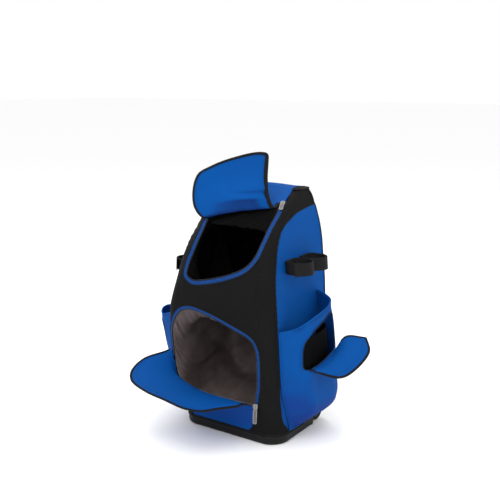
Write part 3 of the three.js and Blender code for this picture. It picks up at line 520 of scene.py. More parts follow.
def add_tube(shell, path, radius, sides=8, up=None, closed=False):
    """Puts a round tube along a path into a shell, with both ends closed."""
    ring = tube(path, radius, sides, up, closed)
    shell.grid(ring, close_a=closed, close_b=True, flip=True)
    if not closed:
        shell.cap(ring[0]).cap(ring[-1][::-1])
    return shell


def rounded(half_x, half_y, radius, per=5):
    """Rectangle with round corners, as a loop of points turning left: a quarter circle about each
    corner's own middle."""
    loops = []
    for k, (sx, sy) in enumerate([(1, 1), (-1, 1), (-1, -1), (1, -1)]):
        t = np.linspace(0, math.pi / 2, per) + k * math.pi / 2
        middle = np.array([sx * (half_x - radius), sy * (half_y - radius)])
        loops.append(middle + radius * np.stack([np.cos(t), np.sin(t)], 1))
    return np.concatenate(loops)


def flipped(p):
    """The same grid on the left side of the bag, its faces still outwards."""
    return (p * np.array([-1.0, 1.0, 1.0]))[::-1]


# Finishes

def node_tree(name):
    """New material with its nodes and its surface shader."""
    mat = bpy.data.materials.new(name)
    mat.use_nodes = True
    tree = mat.node_tree
    return mat, tree, tree.nodes["Principled BSDF"]


def add_node(tree, kind, **values):
    """New node with its settings. A key that starts with in_ sets the input of that name."""
    node = tree.nodes.new(kind)
    for key, value in values.items():
        if key.startswith("in_"):
            node.inputs[key[3:].replace("_", " ")].default_value = value
        else:
            setattr(node, key, value)
    return node


def math_node(tree, operation, a, b=None):
    """One operation on two inputs, each a number or another node's output."""
    node = add_node(tree, "ShaderNodeMath", operation=operation)
    for k, value in enumerate((a, b)):
        if isinstance(value, (int, float)):
            node.inputs[k].default_value = value
        elif value is not None:
            tree.links.new(value, node.inputs[k])
    return node.outputs[0]


def weighed(tree, *parts):
    """Sum of outputs, each times its own weight."""
    terms = [math_node(tree, "MULTIPLY", out, weight) for out, weight in parts]
    total = terms[0]
    for term in terms[1:]:
        total = math_node(tree, "ADD", total, term)
    return total


def ramp(tree, fac, stops):
    """Colours at places along a factor, blended between them."""
    node = add_node(tree, "ShaderNodeValToRGB")
    while len(node.color_ramp.elements) < len(stops):
        node.color_ramp.elements.new(0.5)
    for e, (pos, colour) in zip(node.color_ramp.elements, stops):
        e.position, e.color = pos, (*colour, 1)
    tree.links.new(fac, node.inputs[0])
    return node.outputs[0]


def own_map(tree):
    """The piece's own map and its two lengths."""
    uv = add_node(tree, "ShaderNodeUVMap", uv_map="UVMap").outputs[0]
    split = add_node(tree, "ShaderNodeSeparateXYZ")
    tree.links.new(uv, split.inputs[0])
    return uv, split.outputs[0], split.outputs[1]


def place_in_bag(tree):
    """Place of a point in the bag's frame."""
    return add_node(tree, "ShaderNodeTexCoord").outputs["Object"]


def noise(tree, place, scale, detail, roughness=0.5):
    """Uneven patches read at a place or on a map."""
    node = add_node(tree, "ShaderNodeTexNoise", in_Scale=scale, in_Detail=detail, in_Roughness=roughness)
    tree.links.new(place, node.inputs["Vector"])
    return node.outputs[0]


def ridges(tree, length, pitch):
    """Sine wave along a length of the map, with a pitch in millimetres."""
    return math_node(tree, "SINE", math_node(tree, "MULTIPLY", length, 2 * math.pi / (pitch * MM)))


def relief(tree, bsdf, height, strength, distance):
    """Small bumps of a height on the surface."""
    node = add_node(tree, "ShaderNodeBump", in_Strength=strength, in_Distance=distance)
    tree.links.new(height, node.inputs["Height"])
    tree.links.new(node.outputs[0], bsdf.inputs["Normal"])


def shade(colour, k):
    """A colour times k, at most white."""
    return tuple(min(1.0, c * k) for c in colour)


def painted_shade_facing_down(tree, tint, below, fall):
    """Painted shade: a tint that turns to a darker second colour as the surface's upward share falls
    between two values, standing in for the shade on faces that look down.
    """
    facing = add_node(tree, "ShaderNodeSeparateXYZ")
    tree.links.new(add_node(tree, "ShaderNodeNewGeometry").outputs["Normal"], facing.inputs[0])
    share = add_node(tree, "ShaderNodeMapRange", in_From_Min=fall[0], in_From_Max=fall[1])
    tree.links.new(facing.outputs[2], share.inputs[0])
    blend = add_node(tree, "ShaderNodeMix", data_type="RGBA")
    tree.links.new(share.outputs[0], blend.inputs[0])
    tree.links.new(tint, blend.inputs[6])
    blend.inputs[7].default_value = (*below, 1)
    return blend.outputs[2]


def woven(name, colour, pitch=1.3, rough=0.72, gloss=0.1, mottle=0.25, bump=0.25, below=None,
          fall=(-0.06, -0.5)):
    """Woven cloth: crossed threads of a given pitch in millimetres on the cloth's own map, small
    uneven patches of lighter and darker thread, and broad wear. Where the cloth faces down a
    second, darker colour takes over as painted shade."""
    mat, tree, bsdf = node_tree(name)
    uv, across, up = own_map(tree)
    threads = math_node(tree, "MULTIPLY", ridges(tree, across, pitch), ridges(tree, up, pitch))
    stretch = add_node(tree, "ShaderNodeMapping", in_Scale=(260.0, 780.0, 1.0))
    tree.links.new(uv, stretch.inputs[0])
    slub = noise(tree, stretch.outputs[0], 1.0, 3.0, 0.6)
    broad = noise(tree, place_in_bag(tree), 14.0, 4.0)
    fac = weighed(tree, (slub, 0.62), (broad, 0.3), (threads, 0.05))
    stops = [(0.28, shade(colour, 1 - mottle)), (0.5, colour), (0.7, shade(colour, 1 + mottle))]
    tint = ramp(tree, fac, stops)
    # Painted shade: faces that look down take the darker colour.
    if below:
        tint = painted_shade_facing_down(tree, tint, below, fall)
    tree.links.new(tint, bsdf.inputs["Base Color"])
    wear = math_node(tree, "ADD", math_node(tree, "MULTIPLY", broad, 0.18), rough - 0.09)
    tree.links.new(wear, bsdf.inputs["Roughness"])
    bsdf.inputs["Specular IOR Level"].default_value = gloss
    relief(tree, bsdf, weighed(tree, (threads, 0.5), (slub, 0.5)), bump, 0.0006)
    return mat


def ribbed(name, colour, pitch=2.2, rough=0.6):
    """Woven tape: fine ribs across its map with a slight herringbone, and soft wear."""
    mat, tree, bsdf = node_tree(name)
    _, across, up = own_map(tree)
    rise = math_node(tree, "MULTIPLY", math_node(tree, "ABSOLUTE", up), 0.6)
    ribs = ridges(tree, math_node(tree, "ADD", across, rise), pitch)
    wear = noise(tree, place_in_bag(tree), 220.0, 3.0)
    fac = math_node(tree, "ADD", math_node(tree, "MULTIPLY", ribs, 0.14), wear)
    tint = ramp(tree, fac, [(0.3, shade(colour, 0.72)), (0.5, colour), (0.75, shade(colour, 1.25))])
    tree.links.new(tint, bsdf.inputs["Base Color"])
    bsdf.inputs["Roughness"].default_value = rough
    bsdf.inputs["Specular IOR Level"].default_value = 0.12
    relief(tree, bsdf, ribs, 0.35, 0.0005)
    return mat


def moulded(name, colour, grain=900.0, rough=0.5, bump=0.12, metal=0.0, scuff=0.25, gloss=0.5):
    """Moulded plastic, rubber or metal: fine grain, broad dull patches and lighter scuffs."""
    mat, tree, bsdf = node_tree(name)
    place = place_in_bag(tree)
    fine, broad = noise(tree, place, grain, 2.0), noise(tree, place, 22.0, 5.0, 0.65)
    stops = [(0.3, shade(colour, 1 - scuff)), (0.55, colour), (0.75, shade(colour, 1 + 2 * scuff))]
    tree.links.new(ramp(tree, broad, stops), bsdf.inputs["Base Color"])
    wear = math_node(tree, "ADD", math_node(tree, "MULTIPLY", broad, 0.3), rough - 0.15)
    tree.links.new(wear, bsdf.inputs["Roughness"])
    bsdf.inputs["Metallic"].default_value = metal
    bsdf.inputs["Specular IOR Level"].default_value = gloss
    relief(tree, bsdf, fine, bump, 0.0004)
    return mat


def satin(name, colour):
    """Satin lining: smooth with a sheen, broad lighter and darker patches and a faint diagonal
    twill."""
    mat, tree, bsdf = node_tree(name)
    _, across, up = own_map(tree)
    twill = ridges(tree, math_node(tree, "ADD", across, up), 0.9)
    broad = noise(tree, place_in_bag(tree), 18.0, 5.0)
    tint = ramp(tree, broad, [(0.3, shade(colour, 0.7)), (0.5, colour), (0.72, shade(colour, 1.4))])
    tree.links.new(tint, bsdf.inputs["Base Color"])
    bsdf.inputs["Roughness"].default_value = 0.5
    bsdf.inputs["Specular IOR Level"].default_value = 0.3
    relief(tree, bsdf, twill, 0.1, 0.0003)
    return mat


# Finishes, made once.
FINISH = {}


def finishes():
    """All finishes by name, made once from the colours in the panel."""
    if FINISH:
        return FINISH
    group = bpy.context.scene.kit_bag_colours
    dye = {key: tuple(getattr(group, key)) for key in KitBagColours.__annotations__}
    blue, black = dye["blue"], dye["black"]
    # Painted shade on the lid: a darker colour from where it barely faces up to where it faces down.
    lid = {"below": dye["lid_below"], "fall": (0.04, -0.34)}
    thin = {"pitch": 0.8, "gloss": 0.03, "mottle": 0.2, "bump": 0.15}
    FINISH.update({
        # Blue cloth, with painted shade where it faces down.
        "blue_cloth": woven("blue_woven", blue, gloss=0.06, mottle=0.12, below=dye["blue_below"]),
        "lid_lining": woven("blue_lid_lining", blue, gloss=0.05, mottle=0.12, **lid),
        "black_cloth": woven("black_woven", black, pitch=1.6, gloss=0.06, mottle=0.45, bump=0.4),
        # Lining: black cloth darkened to four tenths of the outer black, partly its own colour and partly
        # painted shade inside the compartments and pockets.
        "black_lining": woven("black_lining", shade(black, 0.4), **thin),
        "black_binding": ribbed("black_tape", shade(black, 0.8)),
        "black_strap": ribbed("black_webbing", shade(black, 0.9), pitch=1.8),
        "zip_tape": ribbed("blue_tape", dye["tape"], pitch=1.6),
        "satin": satin("satin_lining", dye["satin"]),
        "moulded": moulded("black_moulding", dye["moulding"], rough=0.42, gloss=0.17),
        "tyre": moulded("rubber", dye["rubber"], grain=500.0, rough=0.8, bump=0.3, gloss=0.15),
        "hub": moulded("grey_moulding", dye["hub"], rough=0.45, gloss=0.3),
        "axle": moulded("steel", dye["steel"], rough=0.32, metal=1.0, scuff=0.1),
        "pull": moulded("grey_tab", dye["tab"], rough=0.45, scuff=0.15),
        "tube": moulded("aluminium", dye["tube"], rough=0.3, metal=1.0, scuff=0.08),
        "grip": moulded("soft_grip", dye["grip"], grain=1400.0, rough=0.62, bump=0.25),
        "thread_black": ribbed("black_thread", shade(black, 2.2), pitch=0.8),
        "thread_blue": ribbed("blue_thread", shade(blue, 0.7), pitch=0.8),
        "coil": moulded("zip_coil", dye["coil"], rough=0.35),
    })
    return FINISH


# Putting pieces into the scene

def size(key):
    """One of the panel's sizes, in millimetres to a thousandth."""
    return round(getattr(bpy.context.scene.kit_bag_sizes, key) / MM, 3)


def put_in(name, shell, *mats):
    """Mesh object of a shell, in metres at the origin, with its map and its materials."""
    mesh = bpy.data.meshes.new(name)
    mesh.from_pydata((np.concatenate(shell.points) * MM).tolist(), [], shell.faces)
    loops = np.empty(len(mesh.loops), np.int32)
    mesh.loops.foreach_get("vertex_index", loops)
    layer = mesh.uv_layers.new(name="UVMap")
    layer.data.foreach_set("uv", (np.concatenate(shell.map)[loops] * MM).astype(np.float32).ravel())
    mesh.polygons.foreach_set("material_index", np.array(shell.mats, np.int32))
    mesh.polygons.foreach_set("use_smooth", np.array(shell.rounded, bool))
    for mat in mats:
        mesh.materials.append(mat)
    mesh.update()
    obj = bpy.data.objects.new(name, mesh)
    bpy.context.scene.collection.objects.link(obj)
    return obj


def piece(name, shell, finish, *nodes, on="bag", second=None):
    """Piece of a shell in a finish, riding on a body and standing for solids. A second finish
    takes the faces of material number 1."""
    kinds = finishes()
    obj = put_in(name, shell, *(kinds[key] for key in (finish, second) if key))
    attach(obj, on)
    if nodes:
        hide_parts(*nodes)
    return obj


def wall(obj, thick, inner=None):
    """Gives a piece a thickness inwards, with a finish of its own inside."""
    solid = obj.modifiers.new("Wall", "SOLIDIFY")
    solid.thickness, solid.offset, solid.use_even_offset = thick * MM, -1.0, False
    if inner:
        obj.data.materials.append(finishes()[inner])
        solid.material_offset = len(obj.data.materials) - 1


# Inner faces take the darkened lining black, painted shade inside the bag, unless another finish is given.
def sew(name, shell, finish, node, inner="black_lining", thick="cloth"):
    """Cloth piece with a wall of a given thickness, and a finish of its own inside. Cloth piece
    with a wall, declared with the size of its cut: its longest column and row, and an area
    between three tenths of their product and the whole of it.
    """
    obj = piece(name, shell, finish, node)
    wall(obj, size(thick), inner)
    return obj


# Pieces

def main_hole():
    """Outline of the main opening in (across, length): the zip's outer edge and the fold above."""
    t = np.linspace(0, 1, 120)
    q, z = edge_line(MAIN_EDGE, t, -5.4 - np.clip((t - 0.62) * 20, 0, 1) * 5)
    rest = np.array([[134, 634], [132, 660], [0, 660], [-84, 660], [-84.5, 640], [-87, 615]], float)
    pts = np.concatenate([np.stack([q, z], 1), rest])
    pts[:, 1] = length_at(np.minimum(pts[:, 1], CROWN)) + np.where(pts[:, 1] > CROWN, 20, 0)
    return pts


def door_hole():
    """Outline of the shoe door in (across, length): the zip's outer edge and the foot."""
    t = np.linspace(0, 1, 120)
    q, z = edge_line(DOOR_EDGE, t, -5.8 - np.clip((0.31 - t) * 20, 0, 1) * 5)
    foot = np.array([[x + (-4.6 if x < 0 else 14), y - (0 if y > 20 else 30)] for x, y in DOOR_FOOT], float)
    pts = np.concatenate([np.stack([q, z], 1), foot])
    pts[:, 1] = np.where(pts[:, 1] < 0, pts[:, 1], length_at(np.maximum(pts[:, 1], 0)))
    return pts


def make_front():
    """Black front panel from the left corner to the band, cut open round both doors."""
    a, b = square(150, 210)
    z = mix(BASE_TOP - 1, EAVE, b)
    q = mix(-band_back(z) - 0.4, band_edge(z), a)
    q, s, keep = cut_open(q, length_at(z), [main_hole(), door_hole()])
    shell = Shell().grid(cloth(q, height_at(s)), keep)
    sew("front_panel_cloth", shell, "black_cloth", "front_panel")


def make_band():
    """Black band round the right front corner, between its two seams."""
    a, b = square(40, 200)
    z = mix(BASE_TOP - 1, EAVE, b)
    shell = Shell().grid(cloth(mix(band_edge(z), band_back(z) + 0.4, a), z))
    sew("corner_band_cloth", shell, "black_cloth", "corner_band")


def side_grid(turn, na=90, nb=150):
    """Side panel: from the band to the rear corner, from the base's stepped edge to the shoulder.
    A turn of 1 is the right side and -1 the left."""
    a, b = square(na, nb)
    _, side60, rear60, _, _ = turns(60.0)
    b = 1 - (1 - b) ** 1.6
    z = mix(hem(mix(side60, rear60, a)) - 1, 610.6, b)
    q = mix(band_back(z) + 0.5, turns(z)[2] - 0.3, a)
    return cloth(turn * q, z)[::turn]


def make_sides():
    """Blue side panels, right and left."""
    for name, turn in (("right", 1), ("left", -1)):
        shell = Shell().grid(side_grid(turn))
        sew(f"side_panel_{name}_cloth", shell, "blue_cloth", f"side_panel_{name}")


def make_back():
    """Black back panel round both rear corners, its columns closer together at the corners."""
    a, b = square(140, 120)
    z = mix(HOUSING_TOP - 1, EAVE, b)
    _, _, rear, back, middle = turns(z)
    d = np.abs(2 * a - 1)
    q = np.where(d > 0.6, mix(back, rear - 0.2, (d - 0.6) / 0.4), mix(middle, back, d / 0.6))
    shell = Shell().grid(cloth(np.where(a > 0.5, -q, q), z, -0.4))
    sew("back_panel_cloth", shell, "black_cloth", "back_panel")


def fold_at(a, drop=0.0):
    """Lid's fold, straight across the hood between the two ends of the main zip."""
    (q0, z0), (q1, z1) = MAIN_EDGE[0], MAIN_EDGE[-1]
    s = mix(length_at(z0), length_at(z1), a) + GAP + 2 - drop
    return mix(q0 - 3, q1 + 3, a), height_at(s)


def top_grid(a, b):
    """Top panel: up the hood from the lid's fold, then back over the domed crown."""
    across = mix(TOP_LEFT, band_edge(CROWN), a)
    q, z = fold_at(a)
    t = np.clip(b / HOOD, 0, 1)
    h = height_at(mix(length_at(z), length_at(CROWN), t))
    lo = mix(-87, mix(-90, TOP_LEFT, np.clip((h - 578) / 74, 0, 1)), np.clip((h - 578) / 20, 0, 1))
    hood = cloth(np.clip(mix(q, across, t), lo, band_edge(h)), h)
    over = crown(across, np.clip((b - HOOD) / (1 - HOOD), 0, 1))
    return np.where((b > HOOD)[..., None], over, hood)


def make_top():
    """Blue top panel, and the black shoulders beside it on the crown."""
    shell = Shell().grid(top_grid(*square(90, 110)))
    sew("top_panel_cloth", shell, "blue_cloth", "top_panel")
    side = turns(CROWN)[1]
    for name, lo, hi in (("right", band_edge(CROWN), side), ("left", -side, TOP_LEFT)):
        a, b = square(30, 50)
        shell = Shell().grid(crown(mix(lo, hi, a), b))
        sew(f"shoulder_{name}_cloth", shell, "black_cloth", f"shoulder_{name}")


def make_zips():
    """Both zips: a tape bowed across its width, a coil of teeth wound along its inner edge as a
    flattened helix, and a rolled welt along its outer edge."""
    for name, steps in (("main", 2400), ("shoe", 2200)):
        rows, half = ZIP_EDGE[name], ZIP_HALF[name]
        t, b = square(320, 9)
        off = mix(-half, half, b)
        shell = Shell().grid(cloth(*edge_line(rows, t, off), 0.5 - 0.9 * (off / half) ** 2), flip=True)
        node, rests_on = f"{name}_zip_tape", ["front_panel_cloth"]
        tape = sew(f"{node}_cloth", shell, "zip_tape", node, inner=None, thick="lining")
        tape.modifiers["Wall"].offset = 1.0
        line = edge_line(rows, np.linspace(0.004, 0.996, steps), half + 1.2)
        centre, up = cloth(*line, -0.6), body_normal(*line)
        turn = 2 * math.pi * run_along(centre)[:, None] / COIL["pitch"]
        cross = np.cross(unit(np.gradient(centre, axis=0)), up)
        wound = centre + COIL["wide"] * np.cos(turn) * cross + COIL["high"] * np.sin(turn) * up
        piece(f"{name}_zip_coil", add_tube(Shell(), wound, COIL["wire"], 4, up), "coil")
        line = edge_line(rows, np.linspace(0, 1, 400), -half - 0.6)
        welt = add_tube(Shell(), cloth(*line, 0.2), 1.5, 8, body_normal(*line))
        piece(f"{name}_zip_welt", welt, "black_binding")


def lid_point(a, b):
    """Lid: three lengthwise curves from the fold over the roll, and a parabola across them."""
    rows = []
    for k, at in ((0, 0.02), (3, 0.5), (6, 0.97)):
        start = cloth(*fold_at(np.array(at), 0.9))
        rows.append(np.concatenate([start[None], np.array([r[k:k + 3] for r in LID], float)]))
    l, m, r = (spline(row, b) for row in rows)
    t = (2 * a - 1)[..., None]
    return l * t * (t - 1) / 2 + m * (1 - t * t) + r * t * (t + 1) / 2


def lid_plain(a, b):
    """Lid without its folds, at its own parameters: its top edge droops towards the rounded
    corners."""
    top = 0.975 - 0.055 * np.abs(2 * a - 1) ** 5
    return lid_point(mix(0.018, 0.982, a), b * top)


def lid_grid(a, b):
    """Lid bellied out over its foot, with a crease that runs in from the right edge, a slight
    hollow above it and a few soft waves."""
    p = lid_plain(a, b)
    n = grid_normal(p)
    full = np.sin(math.pi * np.clip(a, 0, 1)) ** 0.7 * np.sin(math.pi * np.clip(b, 0.02, 1) ** 0.8) ** 0.7
    full = np.clip(np.nan_to_num(full), 0, 1)
    belly = np.exp(-((b - 0.4 - 0.09 * a) / 0.16) ** 2) * smooth(a / 0.5) * smooth((1 - a) / 0.2)
    line = 0.47 + 0.1 * (1 - a) + 0.02 * np.sin(7 * a)
    crease = np.exp(-((b - line) / 0.034) ** 2) * smooth((a - 0.36) / 0.35) * smooth((1 - a) / 0.05)
    wave = waves(a * 220, b * 180, 21, 40, 120) * full
    return p + n * (17.0 * belly - 4.2 * crease + 1.6 * wave - 2.0 * full)[..., None]


def bind(shell, p, into, up, wide=8.0, thick=2.4):
    """Folded tape round a cloth's edge: a C-shaped section with two legs and a round nose, the
    legs' width given for the whole line or point by point."""
    t = np.linspace(math.pi / 2, 3 * math.pi / 2, 9)
    r, none = thick / 2 + 0.9, np.zeros(9)
    r2 = r - 0.65
    legs = np.concatenate([[1, 0.5], none, [0.5, 1, 1], none, [1]])
    nose = np.concatenate([[0, 0], r * np.cos(t), [0, 0, 0], r2 * np.cos(t[::-1]), [0]])
    high = [[r - 0.25, r], r * np.sin(t), [-r, 0.25 - r, -r2], r2 * np.sin(t[::-1]), [r2]]
    high = np.concatenate(high) - thick / 2
    across = np.broadcast_to(wide, (len(p),))[:, None] * legs + nose
    ring = p[:, None] + across[..., None] * into[:, None] + high[:, None] * up[:, None]
    shell.grid(ring, close_b=True)
    return shell.cap(ring[0][::-1]).cap(ring[-1])


def make_lid():
    """Lid, and the binding up its left edge, over its top and down its right edge, where the
    binding's legs grow wider."""
    shell = Shell().grid(lid_grid(*square(110, 120)))
    sew("lid_cloth", shell, "lid_lining", "lid", "blue_cloth")
    up = np.linspace(0.06, 0.97, 70)
    a = np.concatenate([0 * up, np.linspace(0.02, 0.98, 90), 0 * up + 1])
    b = np.concatenate([up, np.ones(90), up[::-1]])
    line = evenly(soften(evenly(lid_plain(a, b), 260), 4), 260)
    middle = lid_grid(*square(41, 41))[20, 22]
    wide = mix(4.6, 8.5, smooth((np.linspace(0, 1, len(line)) - 0.6) / 0.15))
    bind_edge("lid_edge_tape", line, lid_plain(*square(61, 61)), middle, 6, wide, "lid_binding")


def soften(line, times):
    """Moving average of neighbouring points, ends kept."""
    line = line.copy()
    for _ in range(times):
        line[1:-1] = (line[:-2] + 2 * line[1:-1] + line[2:]) / 4
    return line


def bind_edge(name, line, p, middle, times, wide, node):
    """Binding along a line on a cloth's edge: its section is turned by the normals of the grid's
    points nearest to the line, evened out, and its legs point to the cloth's middle."""
    near = np.argmin(((line[:, None] - p.reshape(1, -1, 3)) ** 2).sum(-1), 1)
    up = unit(soften(grid_normal(p).reshape(-1, 3)[near], times))
    into = unit(np.cross(up, unit(np.gradient(line, axis=0))))
    into *= np.sign((into * (middle - line)).sum(-1, keepdims=True))
    obj = piece(name, bind(Shell(), line, into, up, wide), "black_binding", node)


def shoe_rows():
    """Shoe flap's four long curves: hinge on the body, crest, halfway, free edge."""
    t = np.array(SHOE_FLAP, float)
    hinge = body(t[:, 0], t[:, 1] + 1.6) + [0, -1.4, 0]
    crest, edge = t[:, 2:5], t[:, 5:8]
    return hinge, crest, (crest + edge) / 2 + [0, 0, 4], edge


def shoe_flap(a, b):
    """Shoe flap: the four curves at a, and a curve through them at b."""
    rows = np.stack([spline(row, np.clip(a, 0, 1)) for row in shoe_rows()], -2)
    return spline(rows, np.clip(b, 0, 1))


def shoe_sheet(a, b):
    """Shoe flap's cloth, from right to left: bellied a little, with waves that fade at its edges."""
    p = shoe_flap(1 - a, b * 0.985)
    full = np.sin(math.pi * np.clip(a, 0, 1)) ** 0.6 * np.sin(math.pi * np.clip(b, 0, 1)) ** 0.8
    belly = 1.5 * full + 1.6 * full * waves(a * 300, b * 160, 41, 40, 140)
    return p + grid_normal(p) * belly[..., None]


def door_fall(z, low, high):
    """Left edge of the shoe door's foot: from one distance across to another as z rises, quickly
    at first."""
    return mix(low, high, np.clip((z - BASE_TOP) / 118, 0, 1) ** 0.7)


def make_shoe_door():
    """Shoe door: the foot panel under the flap's hinge, bent out to its lower corners and kept
    between the zip and the band, then the flap and the binding along its free edge."""
    a, b = square(90, 40)
    hinge = np.array([[r[0], r[1], 0] for r in SHOE_FLAP[1:]], float)
    h = spline(hinge, a)
    z = mix(BASE_TOP - 1, h[..., 1] + 0.8, b)
    reach = h[..., 0] + 9 * smooth((a - 0.8) / 0.2)
    bend = mix(0.6, 0.42, smooth((a - 0.6) / 0.4))
    q = mix(mix(-110, 58, a), reach, b ** bend)
    q = np.clip(q, door_fall(z, -114, -143), band_edge(z) + 0.3)
    shell = Shell().grid(cloth(q, z, -0.3 + 1.5 * waves(q, z, 31, 40, 120)))
    sew("shoe_foot_cloth", shell, "blue_cloth", "shoe_foot_panel")
    shell = Shell().grid(shoe_sheet(*square(140, 80)))
    sew("shoe_flap_cloth", shell, "blue_cloth", "shoe_flap", "blue_cloth")
    a = np.concatenate([np.linspace(0.005, 0.995, 160), np.ones(50)])
    b = np.concatenate([np.ones(160), np.linspace(1, 0.35, 50)])
    edge_tape("shoe_flap_edge_tape", a, b, shoe_flap, "shoe_flap_binding")


def edge_tape(name, a, b, flap, node):
    """Binding along a line given in a flap's own parameters, evened out."""
    line = evenly(soften(evenly(flap(a, b), 240), 3), 240)
    u, v = square(81, 61)
    p = flap(1 - u, v)
    bind_edge(name, line, p, p[40, 30], 8, size("binding"), node)


def bowl(mouth, rings, centre, folds, creases, seed, na=320, nb=130):
    """Lining hung inside an opening: from its mouth through ever deeper rings to a pole, with
    broad folds that run down from the mouth, small creases, both still at the mouth, and close
    gathers just below it."""
    stack = np.stack([evenly(r, na, closed=True) for r in [mouth, *rings]], 1)
    _, b = square(na, nb)
    p = spline(stack[:, None], b * 0.999)
    n = grid_normal(np.concatenate([p[-3:], p, p[:3]], 0))[3:-3]
    turn = np.linspace(0, 2 * math.pi, na, endpoint=False)[:, None]
    wave = np.zeros((na, nb))
    rng = np.random.default_rng(seed)
    for k in (5, 8, 13, 21, 34):
        high, start, lean = rng.uniform(0.5, 1), rng.uniform(0, 6), rng.uniform(-1, 1)
        wave += high * np.sin(k * turn + start + 3 * b * lean) / k ** 0.6
    x, y, z = np.moveaxis(p, -1, 0)
    small = 2 * waves(x + 0.4 * y, z + 0.3 * y, seed + 1, 30, 90, 18)
    hang = smooth(b / 0.12) * smooth((1 - b) / 0.25)
    gather = sum(np.sin(k * turn + rng.uniform(0, 6) + 5 * b) for k in (23, 31, 44))
    gather = gather * np.exp(-(b / 0.2) ** 2) * smooth(b / 0.05)
    p = p + n * ((folds * wave + creases * small) * hang + 0.3 * folds * gather)[..., None]
    p = mix(p, sunk(p, 26.0), smooth(b / 0.1)[..., None])
    return Shell().grid(p, close_a=True, pole=centre, flip=True)


def rounded_ring(x0, x1, z0, z1, y, radius):
    """Upright round-cornered rectangle at depth y, turning as the mouths do."""
    x, z = rounded((x1 - x0) / 2, (z1 - z0) / 2, radius, 12).T
    return np.stack([x + (x0 + x1) / 2, np.full(len(x), float(y)), z + (z0 + z1) / 2], 1)


def started_right(loop):
    """Loop turned to start at its rightmost point at mid height, going up."""
    mid = loop.mean(0)
    angle = np.arctan2(loop[:, 2] - mid[2], loop[:, 0] - mid[0])
    return np.roll(loop, -int(np.argmin(np.abs(angle))), 0)


def make_linings():
    """Both linings: each hangs from a mouth made of its zip's inner edge and its door's hinge."""
    t = np.linspace(0, 1, 200)
    hinge = np.array([[r[0], r[1] + 5, 0] for r in SHOE_FLAP], float)
    low = spline(hinge, np.linspace(0.02, 0.98, 120))
    fold = fold_at(np.linspace(0.97, 0.03, 100))
    shoe = cloth(*edge_line(DOOR_EDGE, t, 4.0), -3.0), cloth(low[:, 0], low[:, 1], -4.0)
    main = cloth(*edge_line(MAIN_EDGE, t, 5.0), -3.0), cloth(*fold, -5.0)
    for name, finish, node, mouth, rings, centre, folds, creases, seed in (
            ("shoe", "satin", "shoe_lining", shoe, SHOE_RINGS, (0, 114, 220), 6.0, 3.0, 11),
            ("main", "black_lining", "compartment_floor", main, MAIN_RINGS, (0, 122, 512), 4.0, 1.5, 12)):
        loops = [started_right(rounded_ring(*ring)) for ring in rings]
        shell = bowl(started_right(np.concatenate(mouth)), loops, centre, folds, creases, seed)
        sew(f"{name}_lining_cloth", shell, finish, node, None, "lining")


pouch_depth, pouch_rear, pouch_rim = along(POUCH_DEPTH, 1), along(POUCH_DEPTH, 2), along(POUCH_RIM, 1)
# Pouch's foot, and its length round in which its opening is cut.
POUCH_FOOT, POUCH_ROUND = 34.0, 330.0


def pouch_foot(w):
    """Lower edge of the pouch: level along the base, stepped up over the wheel."""
    return POUCH_FOOT + 46 * smooth((w - 0.55) / 0.42)


def pouch_wall(w, z):
    """Right pouch: a smooth plan curve at each height, swung out from the side and back to it."""
    plan = np.array(POUCH_PLAN, float)
    w, z = np.broadcast_arrays(w, z)
    seam, rear = front_at(z) + radius_at(z), pouch_rear(z)
    x = (half_at(z) + 3.2)[..., None] + pouch_depth(z)[..., None] * plan[:, 2]
    y = plan[:, 0] + np.where(plan[:, 1] > 0, rear[..., None], seam[..., None])
    return spline(np.stack([x, y, np.broadcast_to(z[..., None], x.shape)], -1), w)


def pouch_sag(w, z):
    """Soft sags of the pouch's wall: waves that fade at its ends and towards its foot."""
    up = (z - pouch_foot(w)) / (pouch_rim(w) - pouch_foot(w))
    return 3.6 * waves(w * 320, z, 61, 50, 200) * np.sin(math.pi * w) * smooth(up / 0.2)


def pouch_floor(a, b):
    """Pouch's floor, level from the wall's foot in to the side."""
    z = pouch_foot(a)
    p = pouch_wall(a, z)
    side = np.stack([half_at(z) + 0.6, p[..., 1], p[..., 2]], -1)
    return mix(p, side, b[..., None])


def pouch_grid(a, b):
    """Pouch from its foot to its sloping rim, with soft sags below the rim and at the foot."""
    z = mix(pouch_foot(a), pouch_rim(a), b)
    p = pouch_wall(a, z)
    n = grid_normal(p)
    return p + n * pouch_sag(a, z)[..., None]


def door_outline(inset=0.0, n=160):
    """Pocket's opening as a closed smooth line in the pouch's own (share, z), drawn in towards its
    middle by an inset."""
    rows = np.array([[0, y, z] for y, z in POCKET_DOOR], float)
    loop = evenly(closed_spline(rows, 600), n, closed=True)
    loop = loop + unit(loop.mean(0) - loop) * inset
    w = np.linspace(0.12, 0.8, 300)
    line = pouch_wall(w[None], loop[:, 2][:, None])
    best = np.argmin(np.abs(line[..., 1] - loop[:, 1][:, None]), 1)
    return np.stack([w[best], loop[:, 2]], 1)


def fuller(p):
    """Left pouch before it is turned over to the left: its mouth swung out and set lower, by
    eased steps of height and of the distance from the side."""
    x, y, z = np.moveaxis(p, -1, 0)
    fade = mix(1, 0.4, smooth((y + 60) / 100)) * smooth((x - half_at(z) - 8) / 45)
    lower = mix(mix(0.3, 1.3, smooth((x - half_at(z) - 5) / 50)), 2.1, smooth((y + 80) / 90))
    low = z - FULLER["drop"] * smooth((z - 240) / 110) * lower
    out = FULLER["out"] * smooth((z - 120) / 180) * fade
    return np.stack([x + out + half_at(low) - half_at(z), y, low], -1)


def to_left(p):
    """A grid of the right pouch as it is on the left."""
    return flipped(fuller(p))


def pouch_cut(inset=0.0):
    """Pouch's grid with its points drawn onto the pocket's opening, and the faces outside it."""
    a, b = square(170, 130)
    outline = door_outline(inset) * [POUCH_ROUND, 1]
    u, z, keep = cut_open(a * POUCH_ROUND, mix(pouch_foot(a), pouch_rim(a), b), [outline])
    u = u / POUCH_ROUND
    up = (z - pouch_foot(u)) / (pouch_rim(u) - pouch_foot(u))
    return pouch_grid(u, np.clip(up, 0, 1)), keep


